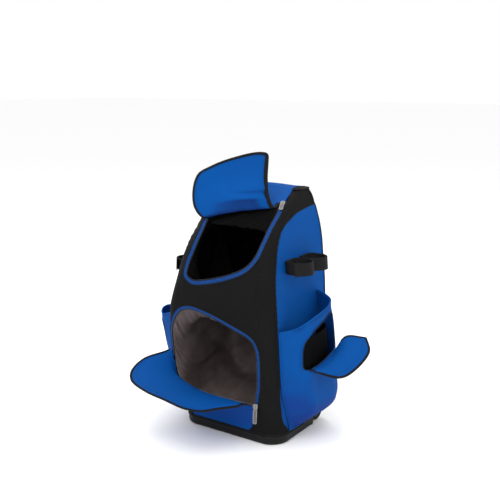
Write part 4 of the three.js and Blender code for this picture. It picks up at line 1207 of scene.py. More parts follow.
def make_pouches():
    """Both pouches with their floors, cut open for the pockets, and the walls inside them."""
    p, keep = pouch_cut()
    for name, turn, stays in (("right", np.asarray, keep), ("left", to_left, keep[::-1])):
        shell = Shell().grid(turn(p), stays)
        shell.grid(turn(pouch_floor(*square(170, 8))), flip=True)
        pouch, back, side = f"pouch_{name}", f"pocket_back_{name}", f"side_panel_{name}_cloth"
        sew(f"{pouch}_cloth", shell, "blue_cloth", pouch, inner="blue_cloth")
        shell = Shell().grid(turn(pocket_back(*square(60, 60))))
        sew(f"{back}_cloth", shell, "black_lining", back, inner=None, thick="lining")


def pocket_back(a, b):
    """Wall between pocket and sleeve: follows the pouch a little way inside it, then turns in."""
    z = mix(64.0, 290 + 26 * a, b)
    d, rear = pouch_depth(z), np.minimum(pouch_rear(z), 62)
    seam, x = front_at(z) + radius_at(z), half_at(z) + 3.2
    plan = [
        (x + 0.7 * d - 4.9, seam + 32), (x + 0.93 * d - 9, seam + 50), (x + d - 11, seam + 82),
        (x + d - 11, rear - 62), (x + d - 12, rear - 40), (x + d * 0.55, rear - 20), (x + 1.5, rear - 8),
    ]
    p = spline(np.stack([np.stack([px, py, z], -1) for px, py in plan], -2), a)
    return p + grid_normal(p) * (2.0 * waves(a * 240, z, 71, 30, 90) * np.sin(math.pi * a) - 1)[..., None]


def pouch_x(y, z):
    """How far out the pouch is at (y, z)."""
    w = np.linspace(0.12, 0.85, 400)
    line = pouch_wall(w[None], z[:, None])
    best = np.argmin(np.abs(line[..., 1] - y[:, None]), 1)
    return line[np.arange(len(y)), best, 0] + pouch_sag(w[best], z)


def pocket_flap(a, b):
    """Right pocket's flap, folded out and down: hinge, a point above a third of the way, edge."""
    t = np.array(POCKET_FLAP, float)
    x = pouch_x(t[:, 0], t[:, 1])
    hinge, edge = np.stack([x, t[:, 0], t[:, 1]], 1), t[:, 2:5]
    arch = np.stack([0 * x, 0 * x, 5 + 20 * np.linspace(0, 1, len(t)) ** 2], 1)
    rows = (hinge + [1.0, 0, 0], mix(hinge, edge, 0.35) + arch, edge)
    return spline(np.stack([spline(r, np.clip(a, 0, 1)) for r in rows], -2), np.clip(b, 0, 1))


def pocket_sheet(a, b):
    """Pocket flap's cloth, from rear to front, with waves that fade at its edges."""
    p = pocket_flap(1 - a, b * 0.97)
    full = np.clip(np.sin(math.pi * a), 0, 1) ** 0.6 * np.sin(math.pi * b)
    return p + grid_normal(p) * (1.2 * full * waves(a * 200, b * 120, 81, 40, 110))[..., None]


def make_pocket_flaps():
    """Right pocket's flap folded out with its bound edge, and the left one closed in its opening."""
    shell = Shell().grid(pocket_sheet(*square(80, 50)))
    name, rests_on = "pocket_flap_right", ["pouch_right_cloth"]
    sew(f"{name}_cloth", shell, "blue_cloth", name, "blue_cloth")
    rise = np.linspace(0.3, 1, 30)
    a = np.concatenate([0 * rise, np.linspace(0.01, 0.99, 120), 0 * rise + 1])
    b = np.concatenate([rise, np.ones(120), rise[::-1]])
    edge_tape("pocket_flap_edge_tape", a, b, pocket_flap, "pocket_binding_right")
    p, keep = pouch_cut(1.6)
    shell = Shell().grid(to_left(p), ~keep[::-1])
    sew("pocket_flap_left_cloth", shell, "blue_cloth", "pocket_flap_left")


def loop_path(reach):
    """Plan of a strap loop: flat on the bag's side, then a half round outwards."""
    r = STRAP["inner"] + STRAP["wall"]
    a = math.pi * (np.linspace(0, 1, 17) - 0.5)
    out = np.stack([r * np.cos(a) * 1.06 + r * reach, r * np.sin(a)], 1)
    near, thin = min(0.45, reach * 0.6), STRAP["wall"] / r
    flat = [[near, 0.97], [thin, 0.8], [0, 0.4], [0, 0], [0, -0.4], [thin, -0.8], [near, -0.97]]
    plan = np.concatenate([out, r * np.array(flat)])
    rows = np.stack([plan[:, 0], plan[:, 1], 0 * plan[:, 0]], 1)
    return evenly(closed_spline(rows, 900), LOOP_STEPS, closed=True)


def make_loops():
    """Strap loops: a band of two faces carried round each loop's plan, rippled along its edges, with
    a tail that lies on it and lifts off at its end. A strap's length is its ring and its tail."""
    wide = np.linspace(0, 1, 15)
    wave = 0.5 * np.sin(np.linspace(0, 14 * math.pi, LOOP_STEPS, endpoint=False))
    ripple = wave[:, None, None] * (wide - 0.5)[:, None]
    tail_steps = LOOP_TAIL.stop - LOOP_TAIL.start
    lift = 0.3 + 9.0 * smooth((14 - np.arange(tail_steps)) / 14) ** 2
    for place, seat in STRAP_PLACES.items():
        for name, side in STRAP_SIDES.items():
            path = loop_path(side["reach"])
            tangent = unit(np.roll(path, -1, 0) - np.roll(path, 1, 0))
            out = np.stack([tangent[:, 1], -tangent[:, 0], 0 * tangent[:, 0]], 1)[:, None]
            z = side["low"] + size("strap") * wide
            face = path[:, None] + np.stack([half_at(z) + seat[name], 0 * z + seat["y"], z], -1)
            face = face + out * ripple
            turn = flipped if name == "left" else np.asarray
            band = turn(np.concatenate([face, (face - out * STRAP["wall"])[:, ::-1]], 1))
            shell = Shell().grid(band, close_a=True, close_b=True)
            tail = face[LOOP_TAIL] + out[LOOP_TAIL] * lift[:, None, None]
            tail = turn(np.concatenate([tail + out[LOOP_TAIL] * 1.6, tail[:, ::-1]], 1))
            shell.grid(tail, close_b=True).cap(tail[0][::-1]).cap(tail[-1])
            node = f"bat_loop_{name}_{place}"
            obj = piece(f"{node}_strap", shell, "black_strap", node)
            long = run_along(path)[-1] * (1 + tail_steps / LOOP_STEPS)
            flat = (round(long * MM, 4), round(size("strap") * MM, 4))


def stitch_row(shell, line, up):
    """Row of short threads along a line: each is a four-sided rod lying on the cloth, drawn in at
    both ends."""
    run = run_along(line)
    count = max(2, int(run[-1] / size("stitch_step")))
    at = (np.arange(count) + 0.5) * run[-1] / count
    rows = line, np.gradient(line, axis=0), up
    centre, way, out = (np.stack([np.interp(at, run, v[:, k]) for k in range(3)], 1) for v in rows)
    centre, way, out = (v[:, None, None] for v in (centre, unit(way), unit(out)))
    place = np.array([-1, -0.7, 0.7, 1])[:, None, None] * size("stitch_long") / 2
    fat = np.array([0.4, 1, 1, 0.4])[:, None] * size("stitch_thick")
    lift = np.array([-0.4, 0.15, 0.15, -0.4])[:, None]
    turn = np.array([1, 3, 5, 7]) * math.pi / 4
    aside, above = np.cos(turn) * fat, np.sin(turn) * fat + lift
    p = centre + way * place + np.cross(out, way) * aside[..., None] + out * above[..., None]
    ring = np.arange(12).reshape(3, 4)
    after = np.roll(ring, -1, 1)
    faces = np.stack([ring, after, after + 4, ring + 4], -1).reshape(-1, 4)
    faces = np.concatenate([faces, [[3, 2, 1, 0], [12, 13, 14, 15]]])
    every = (faces + (np.arange(count) * 16)[:, None, None] + shell.count).reshape(-1, 4)
    p = p.reshape(-1, 3)
    shell.add(p, every, p[:, :2], 0)


def crown_row(q, v):
    """Line over the crown at one distance across, with upright normals."""
    return crown(q + 0 * v, v) + [0, 0, 0.2], np.broadcast_to([0.0, 0, 1], (len(v), 3))


def body_row(q, z):
    """Line on the body's cloth with its outward normals."""
    q, z = np.broadcast_arrays(np.asarray(q, float), np.asarray(z, float))
    return cloth(q, z, 0.2), body_normal(q, z)


def grid_rows(p, cuts):
    """Lines cut out of a grid of points, each with the grid's normals."""
    n = grid_normal(p)
    return [(p[cut], n[cut]) for cut in cuts]


def pouch_row(w, z, turn):
    """Line on a pouch with its normals, on either side: the cross product of the wall's slopes."""
    w, z = np.broadcast_arrays(np.asarray(w, float), np.asarray(z, float))
    e = 0.01
    p = pouch_wall(w, z)
    across, up = pouch_wall(w + e, z) - pouch_wall(w - e, z), pouch_wall(w, z + 1) - pouch_wall(w, z - 1)
    n = unit(np.cross(across, up))
    a, b = turn(p + 0.4 * n), turn(p + 1.4 * n)
    return a, unit(b - a)


def black_rows():
    """Lines of the black thread: beside the band's seams, outside both zips, over the base's edge
    in front, and beside the back's seams."""
    up, t = np.linspace(30, 640, 400), np.linspace(0, 1, 400)
    rows = [body_row(q, up) for q in (band_edge(up) + 4, band_back(up) - 5, 5 - band_back(up))]
    for name, lo, hi in (("main", 0.02, 0.99), ("shoe", 0.05, 0.98)):
        rows.append(body_row(*edge_line(ZIP_EDGE[name], mix(lo, hi, t), -ZIP_HALF[name] - 4)))
    side = turns(30.0)[1]
    q = np.linspace(6 - side, side - 6, 300)
    rows.append(body_row(q, hem(q) + 6))
    tall = np.linspace(HOUSING_TOP + 8, 640, 300)
    edge = turns(tall)[3]
    return rows + [body_row(edge - 4, tall), body_row(4 - edge, tall)]


def blue_rows():
    """Lines of the blue thread: round the side panels, on the pouches, along the edges of the lid
    and the flaps, and beside the top panel's seams."""
    rows = []
    low, tall = np.linspace(36, 596, 320), np.linspace(HOUSING_TOP + 8, 640, 300)[:255]
    _, side, rear, _, _ = turns(30.0)
    q = np.linspace(side + 6, rear - 6, 120)
    for s in (1, -1):
        rows.append(body_row(s * (band_back(low) + 5.4), low))
        rows.append(body_row(s * q, hem(q) + 7))
        rows.append(body_row(s * (turns(tall)[2] - 6), tall))
    w, rim, door = np.linspace(0.04, 0.96, 240), np.linspace(0.2, 0.96, 240), door_outline(-5.0)
    for turn in (np.asarray, to_left):
        rows += [pouch_row(rim, pouch_rim(rim) - d, turn) for d in (4.0, 10.0)]
        rows.append(pouch_row(*door.T, turn))
        rows.append(pouch_row(w, pouch_foot(w) + 8, turn))
        rows.append(pouch_row(0.03, np.linspace(50, 312, 200), turn))
    lid, shoe = lid_grid(*square(111, 121)), shoe_sheet(*square(140, 80))
    pocket = pocket_sheet(*square(80, 50))
    rows += grid_rows(lid, [np.s_[5, 8:116], np.s_[6:105, 116], np.s_[104, 8:116]])
    rows += grid_rows(shoe, [np.s_[3:137, 74], np.s_[3, 24:74], np.s_[4:136, 9]])
    rows += grid_rows(pocket, [np.s_[4:76, 44], np.s_[4, 10:44], np.s_[75, 10:44]])
    v = np.linspace(0.02, 0.97, 120)
    return rows + [crown_row(q, v) for q in (band_edge(CROWN) - 5, TOP_LEFT + 5)]


def make_stitches():
    """Stitches of both threads, a row along each of their lines."""
    for name, rows in (("black", black_rows()), ("blue", blue_rows())):
        shell = Shell()
        for line, out in rows:
            stitch_row(shell, line, out)
        piece(f"stitches_{name}", shell, f"thread_{name}")


def seam_lines():
    """Body's rolled seams as lines with normals and radii: along the band, the rear corners, the
    crown's edge, the top panel's sides, the shoe door's foot and the base's edge."""
    up, tall = np.linspace(26, 648, 360), np.linspace(HOUSING_TOP, 648, 300)
    lines = [(*body_row(band_edge(up), up), 1.0)]
    lines += [(*body_row(s * band_back(up), up), 1.7) for s in (1, -1)]
    lines += [(*body_row(s * (turns(tall)[2] - 0.4), tall), 1.8) for s in (1, -1)]
    middle = float(turns(CROWN)[4])
    right, left = np.linspace(band_edge(CROWN), middle, 200), np.linspace(-middle, TOP_LEFT, 200)
    q = np.concatenate([right, left[1:]])
    edge = 0 * q + 650.4
    lines.append((body(q, edge), body_normal(q, edge), 2.2))
    v = np.linspace(0, 1, 80)
    lines += [(*crown_row(q, v), 1.2) for q in (band_edge(CROWN), TOP_LEFT)]
    foot = np.linspace(26, 146, 80)
    lines.append((*body_row(door_fall(foot, -116.5, -146), foot), 2.6))
    reach = float(turns(60.0)[1]) + 60
    q = np.linspace(-reach, reach, 300)
    edge = hem(q) + 2.6
    lines.append((cloth(q, edge, -1.2), body_normal(q, edge), 3.2))
    return lines


def make_piping():
    """Piping: black tubes along the body's seams, blue ones round each pouch's rim, ends and foot,
    and a dark one round each pocket's opening."""
    black, blue, dark = Shell(), Shell(), Shell()
    for line, out, radius in seam_lines():
        add_tube(black, line, radius, 8, out)
    w, door = np.linspace(0, 1, 240), door_outline(-0.6)
    door = np.concatenate([door, door[:1]])
    thick = mix(0.5, 2.3, smooth((w - 0.1) / 0.2))
    for turn in (np.asarray, to_left):
        add_tube(blue, turn(pouch_wall(w, pouch_rim(w) - 0.8)), thick, 10)
        for edge in (0.0, 1.0):
            z = np.linspace(pouch_foot(edge), pouch_rim(edge) - 2, 160)
            add_tube(blue, turn(pouch_wall(edge + 0 * z, z)), 1.6, 8, [0, 1.0, 0])
        add_tube(blue, turn(pouch_wall(w, pouch_foot(w))), 1.6, 8)
        line, out = pouch_row(*door.T, turn)
        add_tube(dark, line - 0.6 * out, 1.5, 8, out)
    piece("seam_piping_black", black, "black_binding")
    piece("pouch_piping_blue", blue, "blue_cloth")
    piece("pocket_edge_piping", dark, "black_binding")


def base_wall():
    """Wall of the tub: a section with a rounded foot and a rolled rim carried round the body's
    plan, its rim on the stepped edge, cut out in an arch round each wheel."""
    _, side, _, back, middle = (float(v) for v in turns(BASE_PLAN))
    q = np.linspace(-middle, middle, 420, endpoint=False)[:, None]
    top, roll = hem(q), np.radians(np.linspace(-90, 160, 12)[1:])
    foot, rise = 0 * q + [0.0, 0.6, 2.4, 5.0, 7.0], mix(7.0, top - 4, np.linspace(0, 1, 26)[1:])
    z = np.concatenate([foot, rise, top - 2.2 + 2.4 * np.sin(roll)], 1)
    inset = np.concatenate([[6.0, 3.6, 1.6, 0.4, 0.0], np.zeros(25), -2.2 * np.cos(roll) - 0.2])
    inset[-1] = 3.0
    q1 = side + WHEEL["y"] - WHEEL["radius"] - 3 - front_at(BASE_PLAN) - radius_at(BASE_PLAN)
    q2 = back + half_at(BASE_PLAN) - BACK_RADIUS - WELL["x"]
    arch = np.array([
        [q1, -9], [q1, 40], [q1 + 3, 52], [q1 + 11, 60], [q1 + 20, 63],
        [q2 - 20, 63], [q2 - 11, 60], [q2 - 3, 52], [q2, 40], [q2, -9],
    ], float)
    q, z, keep = cut_open(np.broadcast_to(q, z.shape), z, [arch, arch * [-1, 1]])
    plan = 0 * q + BASE_PLAN
    p = body(q, plan) - body_normal(q, plan) * inset[:, None]
    p[..., 2] = z
    return p, keep


def all_round(keep):
    """Faces that stay, with one more row of them where the grid is closed."""
    return np.concatenate([keep, np.ones((1, keep.shape[1]), bool)])


def make_base():
    """Moulded tub: its wall, a flat underside cut out at the wheels, and in each rear corner a well
    of a rounded roof and an inner cheek."""
    p, keep = base_wall()
    shell = Shell().grid(p, all_round(keep), close_a=True)
    x, y, _ = np.moveaxis(p[:, :1] * np.linspace(1, 0, 24)[:-1, None], -1, 0)
    box = np.array([[WELL["x"], WELL["y"]], [240, WELL["y"]], [240, 240], [WELL["x"], 240]], float)
    x, y, keep = cut_open(x, y, [box, box * [-1, 1]])
    floor = np.stack([x, y, 0 * x], -1)
    shell.grid(floor, all_round(keep), close_a=True, flip=True).cap(floor[::-1, -1])
    t, r, high = np.linspace(0, math.pi / 2, 8), WELL["bend"], WELL["roof"]
    bend = np.stack([WELL["y"] + r * (1 - np.cos(t)), high - r + r * np.sin(t)], 1)
    roof = np.concatenate([[[WELL["y"], 0.2]], bend, [[WELL["rear"], high]]])
    deep, tall = np.linspace(WELL["y"], WELL["rear"] - 1, 8), np.linspace(0.2, high, 8)
    for s in (1, -1):
        x, y = np.meshgrid(np.linspace(WELL["x"], WELL["end"], 6) * s, roof[:, 0], indexing="ij")
        shell.grid(np.stack([x, y, 0 * x + roof[:, 1]], -1), flip=s > 0)
        y, z = np.meshgrid(deep, tall, indexing="ij")
        shell.grid(np.stack([0 * y + WELL["x"] * s, y, z], -1), flip=s < 0)
    wall(piece("base_moulding", shell, "moulded", "base_tub"), size("tub"))


def lathe(profile, n, change=None):
    """Profile of (radius, along) turned about the wheels' axis, with an optional change of radius
    round it."""
    r, x = np.asarray(profile, float).T[:, None]
    t = np.linspace(0, 2 * math.pi, n, endpoint=False)[:, None]
    r = r + (change(t, x) if change else 0 * t)
    y, z = WHEEL["y"] + r * np.cos(t), WHEEL["radius"] + r * np.sin(t)
    return np.stack([np.broadcast_to(x, r.shape), y, z], -1)


def tread(t, x):
    """Tyre's change of radius: blocks cut by a steep wave round it, a different way on each half,
    and a groove beside the middle, on the outer face alone."""
    across = np.abs(x)
    edge = smooth((across - 5) / 3) * smooth((15.2 - across) / 2)
    groove = np.exp(-((across - 5.5) / 0.9) ** 2)
    cut = -1.1 * edge * smooth((np.cos(22 * t + 2 * np.sign(x)) - 0.55) / 0.25) - 0.9 * groove
    return np.where(np.arange(x.size) < TREAD_STEPS, cut, 0)


def spokes(p, profile):
    """A hub's points with five ribs raised across the hollow of its outer face."""
    t = np.linspace(0, 2 * math.pi, len(p), endpoint=False)[:, None]
    r, x = profile.T
    p[..., 0] += 3.6 * smooth((np.cos(5 * t) - 0.1) / 0.5) * ((r > 8.4) & (r < 16.3) & (x > 0))
    return p


def make_wheels():
    """Wheels and axles, each a profile turned about the wheels' axis: a crowned tyre with its
    tread, a hub with ribs and a stepped pin."""
    w2, r, hub = WHEEL["width"] / 2, WHEEL["radius"], WHEEL["hub"]
    k = np.linspace(-1, 1, TREAD_STEPS)
    crowned = np.stack([r - 4.0 * np.abs(k) ** 5, k * w2 * 0.985], 1)
    seat = [[hub + 2, w2 - 2.5], [hub + GAP, w2 - 3], [hub + GAP, 3 - w2], [hub + 2, 2.5 - w2]]
    tyre = lathe(np.concatenate([crowned, seat]), 176, tread)
    face = np.array([
        [4.6, w2 - 1], [7.4, w2 - 1], [8.2, w2 - 2], [8.6, w2 - 6.4], [10, w2 - 7.2], [14, w2 - 7.2],
        [15.6, w2 - 6.2], [16.2, w2 - 3.4], [17, w2 - 2.6], [hub - 0.4, w2 - 2.6], [hub, w2 - 3.2],
        [hub, 3.2 - w2], [hub - 0.6, 2.4 - w2], [8, 1 - w2], [4.6, 1 - w2],
    ])
    thirds = np.arange(3)[:, None] / 3
    face = np.concatenate([mix(face[:-1, None], face[1:, None], thirds).reshape(-1, 2), face[-1:]])
    centre = spokes(lathe(face, 80), face)
    pin = lathe([
        [0.4, -27], [6.4, -27], [7, -26.4], [7, -20.6], [4.05, -20.4], [4.05, w2 + 0.3], [6.6, w2 + 0.4],
        [7, w2 + 1], [6.6, w2 + 2.6], [4.5, w2 + 3.7], [1.5, w2 + 4], [0.4, w2 + 4],
    ], 40)
    for name, s in (("right", 1), ("left", -1)):
        side, place = np.array([s, 1, 1]), np.array([s * WHEEL["x"], 0, 0])
        for part, p in (("tyre", tyre), ("hub", centre)):
            shell = Shell().grid(p * side + place, close_a=True, close_b=True, flip=s > 0)
            piece(f"wheel_{name}_{part}_turned", shell, part, f"wheel_{name}_{part}", on=f"wheel_{name}")
        shell = Shell().grid(pin * side + place, close_a=True, close_b=True, flip=s < 0)
        piece(f"axle_{name}_turned", shell, "axle", f"axle_{name}")


def make_handle():
    """Pull handle: a round-cornered channel drawn in at both ends, with a hollow down its back, two
    tubes, and a grip that is a rounded section with waves, closing at its ends."""
    h, c = HANDLE, CHANNEL
    z = np.linspace(c["bottom"] + 3, c["top"] - 3, 60)
    z = np.concatenate([[c["bottom"]], z, [c["top"]]])[:, None]
    x, y = rounded(c["half"], c["deep"] / 2, 5, 8).T
    ends = np.where((z == z[0]) | (z == z[-1]), 0.97, 1.0)
    middle = np.exp(-(x / 22.0) ** 8) * (y > 0)
    lengthwise = smooth((z - c["bottom"] - 30) / 12) * smooth((c["top"] - 30 - z) / 12)
    deep = c["front"] + c["deep"] / 2 + y * ends - 6.0 * middle * lengthwise
    p = np.stack([x * (1 - 0.03 * (y > 0)) * ends, deep, z + 0 * x], -1)
    shell = Shell().grid(p, close_b=True, flip=True)
    shell.cap(p[0]).cap(p[-1][::-1])
    piece("handle_channel_moulding", shell, "moulded", "handle_channel")
    up = np.linspace(h["bottom"], h["top"], 40)
    for name, s in (("right", 1), ("left", -1)):
        line = np.stack([0 * up + s * h["spread"], 0 * up + h["y"], up], 1)
        shell = add_tube(Shell(), line, h["radius"], 32, [1.0, 0, 0])
        piece(f"handle_tube_{name}_drawn", shell, "tube", f"handle_tube_{name}", on="handle")
    half = h["grip"] / 2
    x = np.linspace(-half, half, 90)[:, None]
    end = np.sqrt(np.clip(1 - (np.abs(x) / (half + 0.01)) ** 6, 0.02, 1))
    wave = 1 + 0.03 * np.cos(x / half * math.pi * 6) * (np.abs(x) < 46)
    y, z = rounded(9, 11, 5, 8).T
    p = np.stack([x + 0 * y, h["y"] + y * end, c["top"] + GAP + 11 + z * end * wave], -1)
    shell = Shell().grid(p, close_b=True)
    shell.cap(p[0][::-1]).cap(p[-1])
    piece("handle_grip_moulding", shell, "grip", "handle_grip", on="handle")


def pillow(half, e, na=40, nb=28):
    """Rounded block: a superellipsoid with three half sizes and one exponent for its roundings."""
    u, v = square(na, nb)
    u, v = u * 2 * math.pi * (1 - 1 / na), (v - 0.5) * math.pi * 0.999
    cu, su, cv, sv = (np.sign(w) * np.abs(w) ** e for w in (np.cos(u), np.sin(u), np.cos(v), np.sin(v)))
    return np.stack([half[0] * cv * cu, half[1] * cv * su, half[2] * sv], -1)


def make_pulls():
    """Zip pulls: a slider, a bridge over it, and a tab of a rounded rim with ribs and a thin plate,
    all set along the tab's own axes."""
    for name, (q, z), lift, out, down, length, width in PULLS:
        q, z = np.array(q), np.array(z)
        at = body(q, z) + body_normal(q, z) * lift
        o = unit(np.array(out, float)) if out else body_normal(q, z)
        d = np.array(down, float)
        d = unit(d - (d @ o) * o)
        axes = np.stack([np.cross(d, o), o, d], 0)
        slider = pillow((width / 2 - 0.5, 2.0, 7.0), 0.4)
        shell = Shell().grid(slider @ axes + at, close_a=True, flip=True)
        t = np.linspace(0, math.pi, 24)
        bridge = np.stack([0 * t, 1.4 + 3.0 * np.sin(t), 5.2 * np.cos(t)], 1)
        add_tube(shell, bridge @ axes + at, 1.1, 8, axes[0])
        long, half = (length - 9) / 2, width / 2 - 2.2
        middle = np.array([0, 1.6, 8 + long])
        loop = rounded(half, long, 2.4, 8)
        rim = np.stack([loop[:, 0], 0 * loop[:, 0], loop[:, 1]], 1) + middle
        add_tube(shell, rim @ axes + at, 1.25, 8, o, closed=True)
        for place in np.linspace(-long + 3.5, long - 3.5, max(4, int(long / 2.4))):
            rib = np.stack([np.linspace(-half, half, 6), np.zeros(6), np.full(6, place)], 1) + middle
            add_tube(shell, rib @ axes + at, 0.95, 6, o)
        plate = pillow((half, 0.5, long), 0.25) + middle - [0, 0.4, 0]
        shell.grid(plate @ axes + at, close_a=True, flip=True, mat=1)
        piece(f"{name}_zip_tab", shell, "pull", f"{name}_zip_pull", second="hub")


def place_object(name, data, place, turn):
    """Light or camera at a place in metres, turned by three angles."""
    obj = bpy.data.objects.new(name, data)
    bpy.context.scene.collection.objects.link(obj)
    obj.location, obj.rotation_euler = place, turn
    return obj


def make_stage():
    """Pale floor, even surroundings, four soft lights aimed at the bag, and the camera."""
    look, scene = bpy.context.scene.kit_bag_stage, bpy.context.scene
    a, b = square(3, 3)
    half = look.floor_size / 2 / MM
    mat, _, bsdf = node_tree("pale_floor")
    bsdf.inputs["Base Color"].default_value = (*look.floor, 1)
    bsdf.inputs["Roughness"].default_value = 0.9
    sheet = np.stack([mix(-half, half, a), mix(-half, half, b), 0 * a - 0.5], -1)
    put_in("floor", Shell().grid(sheet), mat)
    scene.world = bpy.data.worlds.new("studio")
    scene.world.use_nodes = True
    around = scene.world.node_tree.nodes["Background"]
    around.inputs["Color"].default_value = (1, 1, 1, 1)
    around.inputs["Strength"].default_value = look.ambient
    for name, place, aim, side, share in LIGHTS:
        light = bpy.data.lights.new(name, "AREA")
        light.energy, light.size = look.key * share, side
        way = np.array(aim, float) - np.array(place, float)
        tilt, round_z = math.acos(-way[2] / np.linalg.norm(way)), math.atan2(way[1], way[0])
        place_object(name, light, place, (tilt, 0, round_z - math.pi / 2))
    camera = bpy.data.cameras.new("camera")
    camera.sensor_width = CAMERA["sensor"]
    camera.lens = CAMERA["sensor"] * CAMERA["focal"] / CAMERA["picture"]
    turn = (math.radians(90 - CAMERA["down"]), 0, math.radians(CAMERA["round"]))
    scene.camera = place_object("camera", camera, CAMERA["place"], turn)
    scene.view_settings.view_transform = "Standard"


# Settings, operators and panel

def colour_setting(name, description, default):
    """Setting for one colour."""
    return bpy.props.FloatVectorProperty(name=name, description=description, default=default,
                                         subtype="COLOR", size=3, min=0, max=1)


def length_setting(name, description, default):
    """Setting for one length, in metres."""
    return bpy.props.FloatProperty(name=name, description=description, default=default,
                                   unit="LENGTH", min=0.0001, precision=4)


class KitBagSizes(bpy.types.PropertyGroup):
    """Sizes of cloth, straps and stitches."""
    cloth: length_setting("Cloth", "Thickness of the outer cloth", 0.0024)
    lining: length_setting("Lining", "Thickness of the linings and zip tapes", 0.0012)
    tub: length_setting("Tub", "Thickness of the base's wall", 0.0026)
    binding: length_setting("Binding", "Width of each leg of the flaps' bindings", 0.0038)
    strap: length_setting("Strap", "Width of the strap loops", 0.032)
    stitch_step: length_setting("Stitch step", "Distance from one stitch to the next", 0.0044)
    stitch_long: length_setting("Stitch", "Length of one stitch", 0.003)
    stitch_thick: length_setting("Thread", "Half the thickness of the thread", 0.0005)


class KitBagColours(bpy.types.PropertyGroup):
    """Colours of the bag's cloth, tapes, mouldings and metal."""
    blue: colour_setting("Blue cloth", "Sides, lid, flaps and pouches", (0.001, 0.058, 0.25))
    # Painted shade: the darker blue that the cloth takes where it faces down.
    blue_below: colour_setting("Blue below", "Blue cloth where it faces down", (0.005, 0.034, 0.2))
    # Painted shade: the darker blue that the lid takes where it faces down.
    lid_below: colour_setting("Lid below", "Lid where it faces down", (0.0055, 0.026, 0.135))
    black: colour_setting("Black cloth", "Front, back and shoulders", (0.0062, 0.0062, 0.0064))
    tape: colour_setting("Zip tape", "Tape along both zips", (0.0015, 0.036, 0.165))
    satin: colour_setting("Satin", "Shoe compartment's lining", (0.112, 0.088, 0.084))
    moulding: colour_setting("Moulding", "Base and handle channel", (0.005, 0.005, 0.0052))
    tab: colour_setting("Zip tabs", "Sliders and tabs", (0.19, 0.18, 0.175))
    coil: colour_setting("Zip coils", "Teeth of both zips", (0.012, 0.013, 0.016))
    rubber: colour_setting("Tyres", "Rubber of the wheels", (0.011, 0.011, 0.0115))
    hub: colour_setting("Hubs", "Hubs and the tabs' plates", (0.05, 0.05, 0.053))
    steel: colour_setting("Axles", "Steel of the axles", (0.5, 0.5, 0.52))
    tube: colour_setting("Tubes", "Tubes of the pull handle", (0.6, 0.61, 0.63))
    grip: colour_setting("Grip", "Grip of the pull handle", (0.03, 0.03, 0.032))


class KitBagStage(bpy.types.PropertyGroup):
    """Floor and light."""
    floor: colour_setting("Floor", "Colour of the floor", (0.97, 0.97, 0.97))
    floor_size: length_setting("Floor size", "Length of the floor's sides", 60.0)
    ambient: bpy.props.FloatProperty(name="Ambient", description="Light from all round",
                                     default=1.0, min=0, max=5)
    key: bpy.props.FloatProperty(name="Key", description="Power of the main soft light",
                                 default=38, min=0, max=1000, unit="POWER")


class KITBAG_OT_stage(bpy.types.Operator):
    """Floor, lights and camera"""
    bl_idname = "kitbag.stage"
    bl_label = "Stage"

    def execute(self, context):
        """Makes it in the open scene."""
        make_stage()
        return {"FINISHED"}


class KITBAG_OT_base(bpy.types.Operator):
    """Moulded tub"""
    bl_idname = "kitbag.base"
    bl_label = "Base"

    def execute(self, context):
        """Makes it in the open scene."""
        make_base()
        return {"FINISHED"}


class KITBAG_OT_wheels(bpy.types.Operator):
    """Tyres, hubs and axles"""
    bl_idname = "kitbag.wheels"
    bl_label = "Wheels"

    def execute(self, context):
        """Makes it in the open scene."""
        make_wheels()
        return {"FINISHED"}


class KITBAG_OT_front(bpy.types.Operator):
    """Black front panel round both openings"""
    bl_idname = "kitbag.front"
    bl_label = "Front"

    def execute(self, context):
        """Makes it in the open scene."""
        make_front()
        return {"FINISHED"}


class KITBAG_OT_band(bpy.types.Operator):
    """Black band on the right corner"""
    bl_idname = "kitbag.band"
    bl_label = "Corner band"

    def execute(self, context):
        """Makes it in the open scene."""
        make_band()
        return {"FINISHED"}


class KITBAG_OT_sides(bpy.types.Operator):
    """Blue side panels"""
    bl_idname = "kitbag.sides"
    bl_label = "Sides"

    def execute(self, context):
        """Makes it in the open scene."""
        make_sides()
        return {"FINISHED"}


class KITBAG_OT_back(bpy.types.Operator):
    """Black back panel"""
    bl_idname = "kitbag.back"
    bl_label = "Back"

    def execute(self, context):
        """Makes it in the open scene."""
        make_back()
        return {"FINISHED"}


class KITBAG_OT_top(bpy.types.Operator):
    """Blue top panel and black shoulders"""
    bl_idname = "kitbag.top"
    bl_label = "Top"

    def execute(self, context):
        """Makes it in the open scene."""
        make_top()
        return {"FINISHED"}


class KITBAG_OT_zips(bpy.types.Operator):
    """Tapes, coils and welts of both openings"""
    bl_idname = "kitbag.zips"
    bl_label = "Zips"

    def execute(self, context):
        """Makes it in the open scene."""
        make_zips()
        return {"FINISHED"}


class KITBAG_OT_lid(bpy.types.Operator):
    """Lid and its binding"""
    bl_idname = "kitbag.lid"
    bl_label = "Lid"

    def execute(self, context):
        """Makes it in the open scene."""
        make_lid()
        return {"FINISHED"}


class KITBAG_OT_shoe_door(bpy.types.Operator):
    """Foot panel, flap and binding"""
    bl_idname = "kitbag.shoe_door"
    bl_label = "Shoe door"

    def execute(self, context):
        """Makes it in the open scene."""
        make_shoe_door()
        return {"FINISHED"}


class KITBAG_OT_linings(bpy.types.Operator):
    """Linings of both compartments"""
    bl_idname = "kitbag.linings"
    bl_label = "Linings"

    def execute(self, context):
        """Makes it in the open scene."""
        make_linings()
        return {"FINISHED"}


class KITBAG_OT_pouches(bpy.types.Operator):
    """Side pouches and pocket walls"""
    bl_idname = "kitbag.pouches"
    bl_label = "Pouches"

    def execute(self, context):
        """Makes it in the open scene."""
        make_pouches()
        return {"FINISHED"}


class KITBAG_OT_pocket_flaps(bpy.types.Operator):
    """Open and closed pocket flaps"""
    bl_idname = "kitbag.pocket_flaps"
    bl_label = "Pocket flaps"

    def execute(self, context):
        """Makes it in the open scene."""
        make_pocket_flaps()
        return {"FINISHED"}


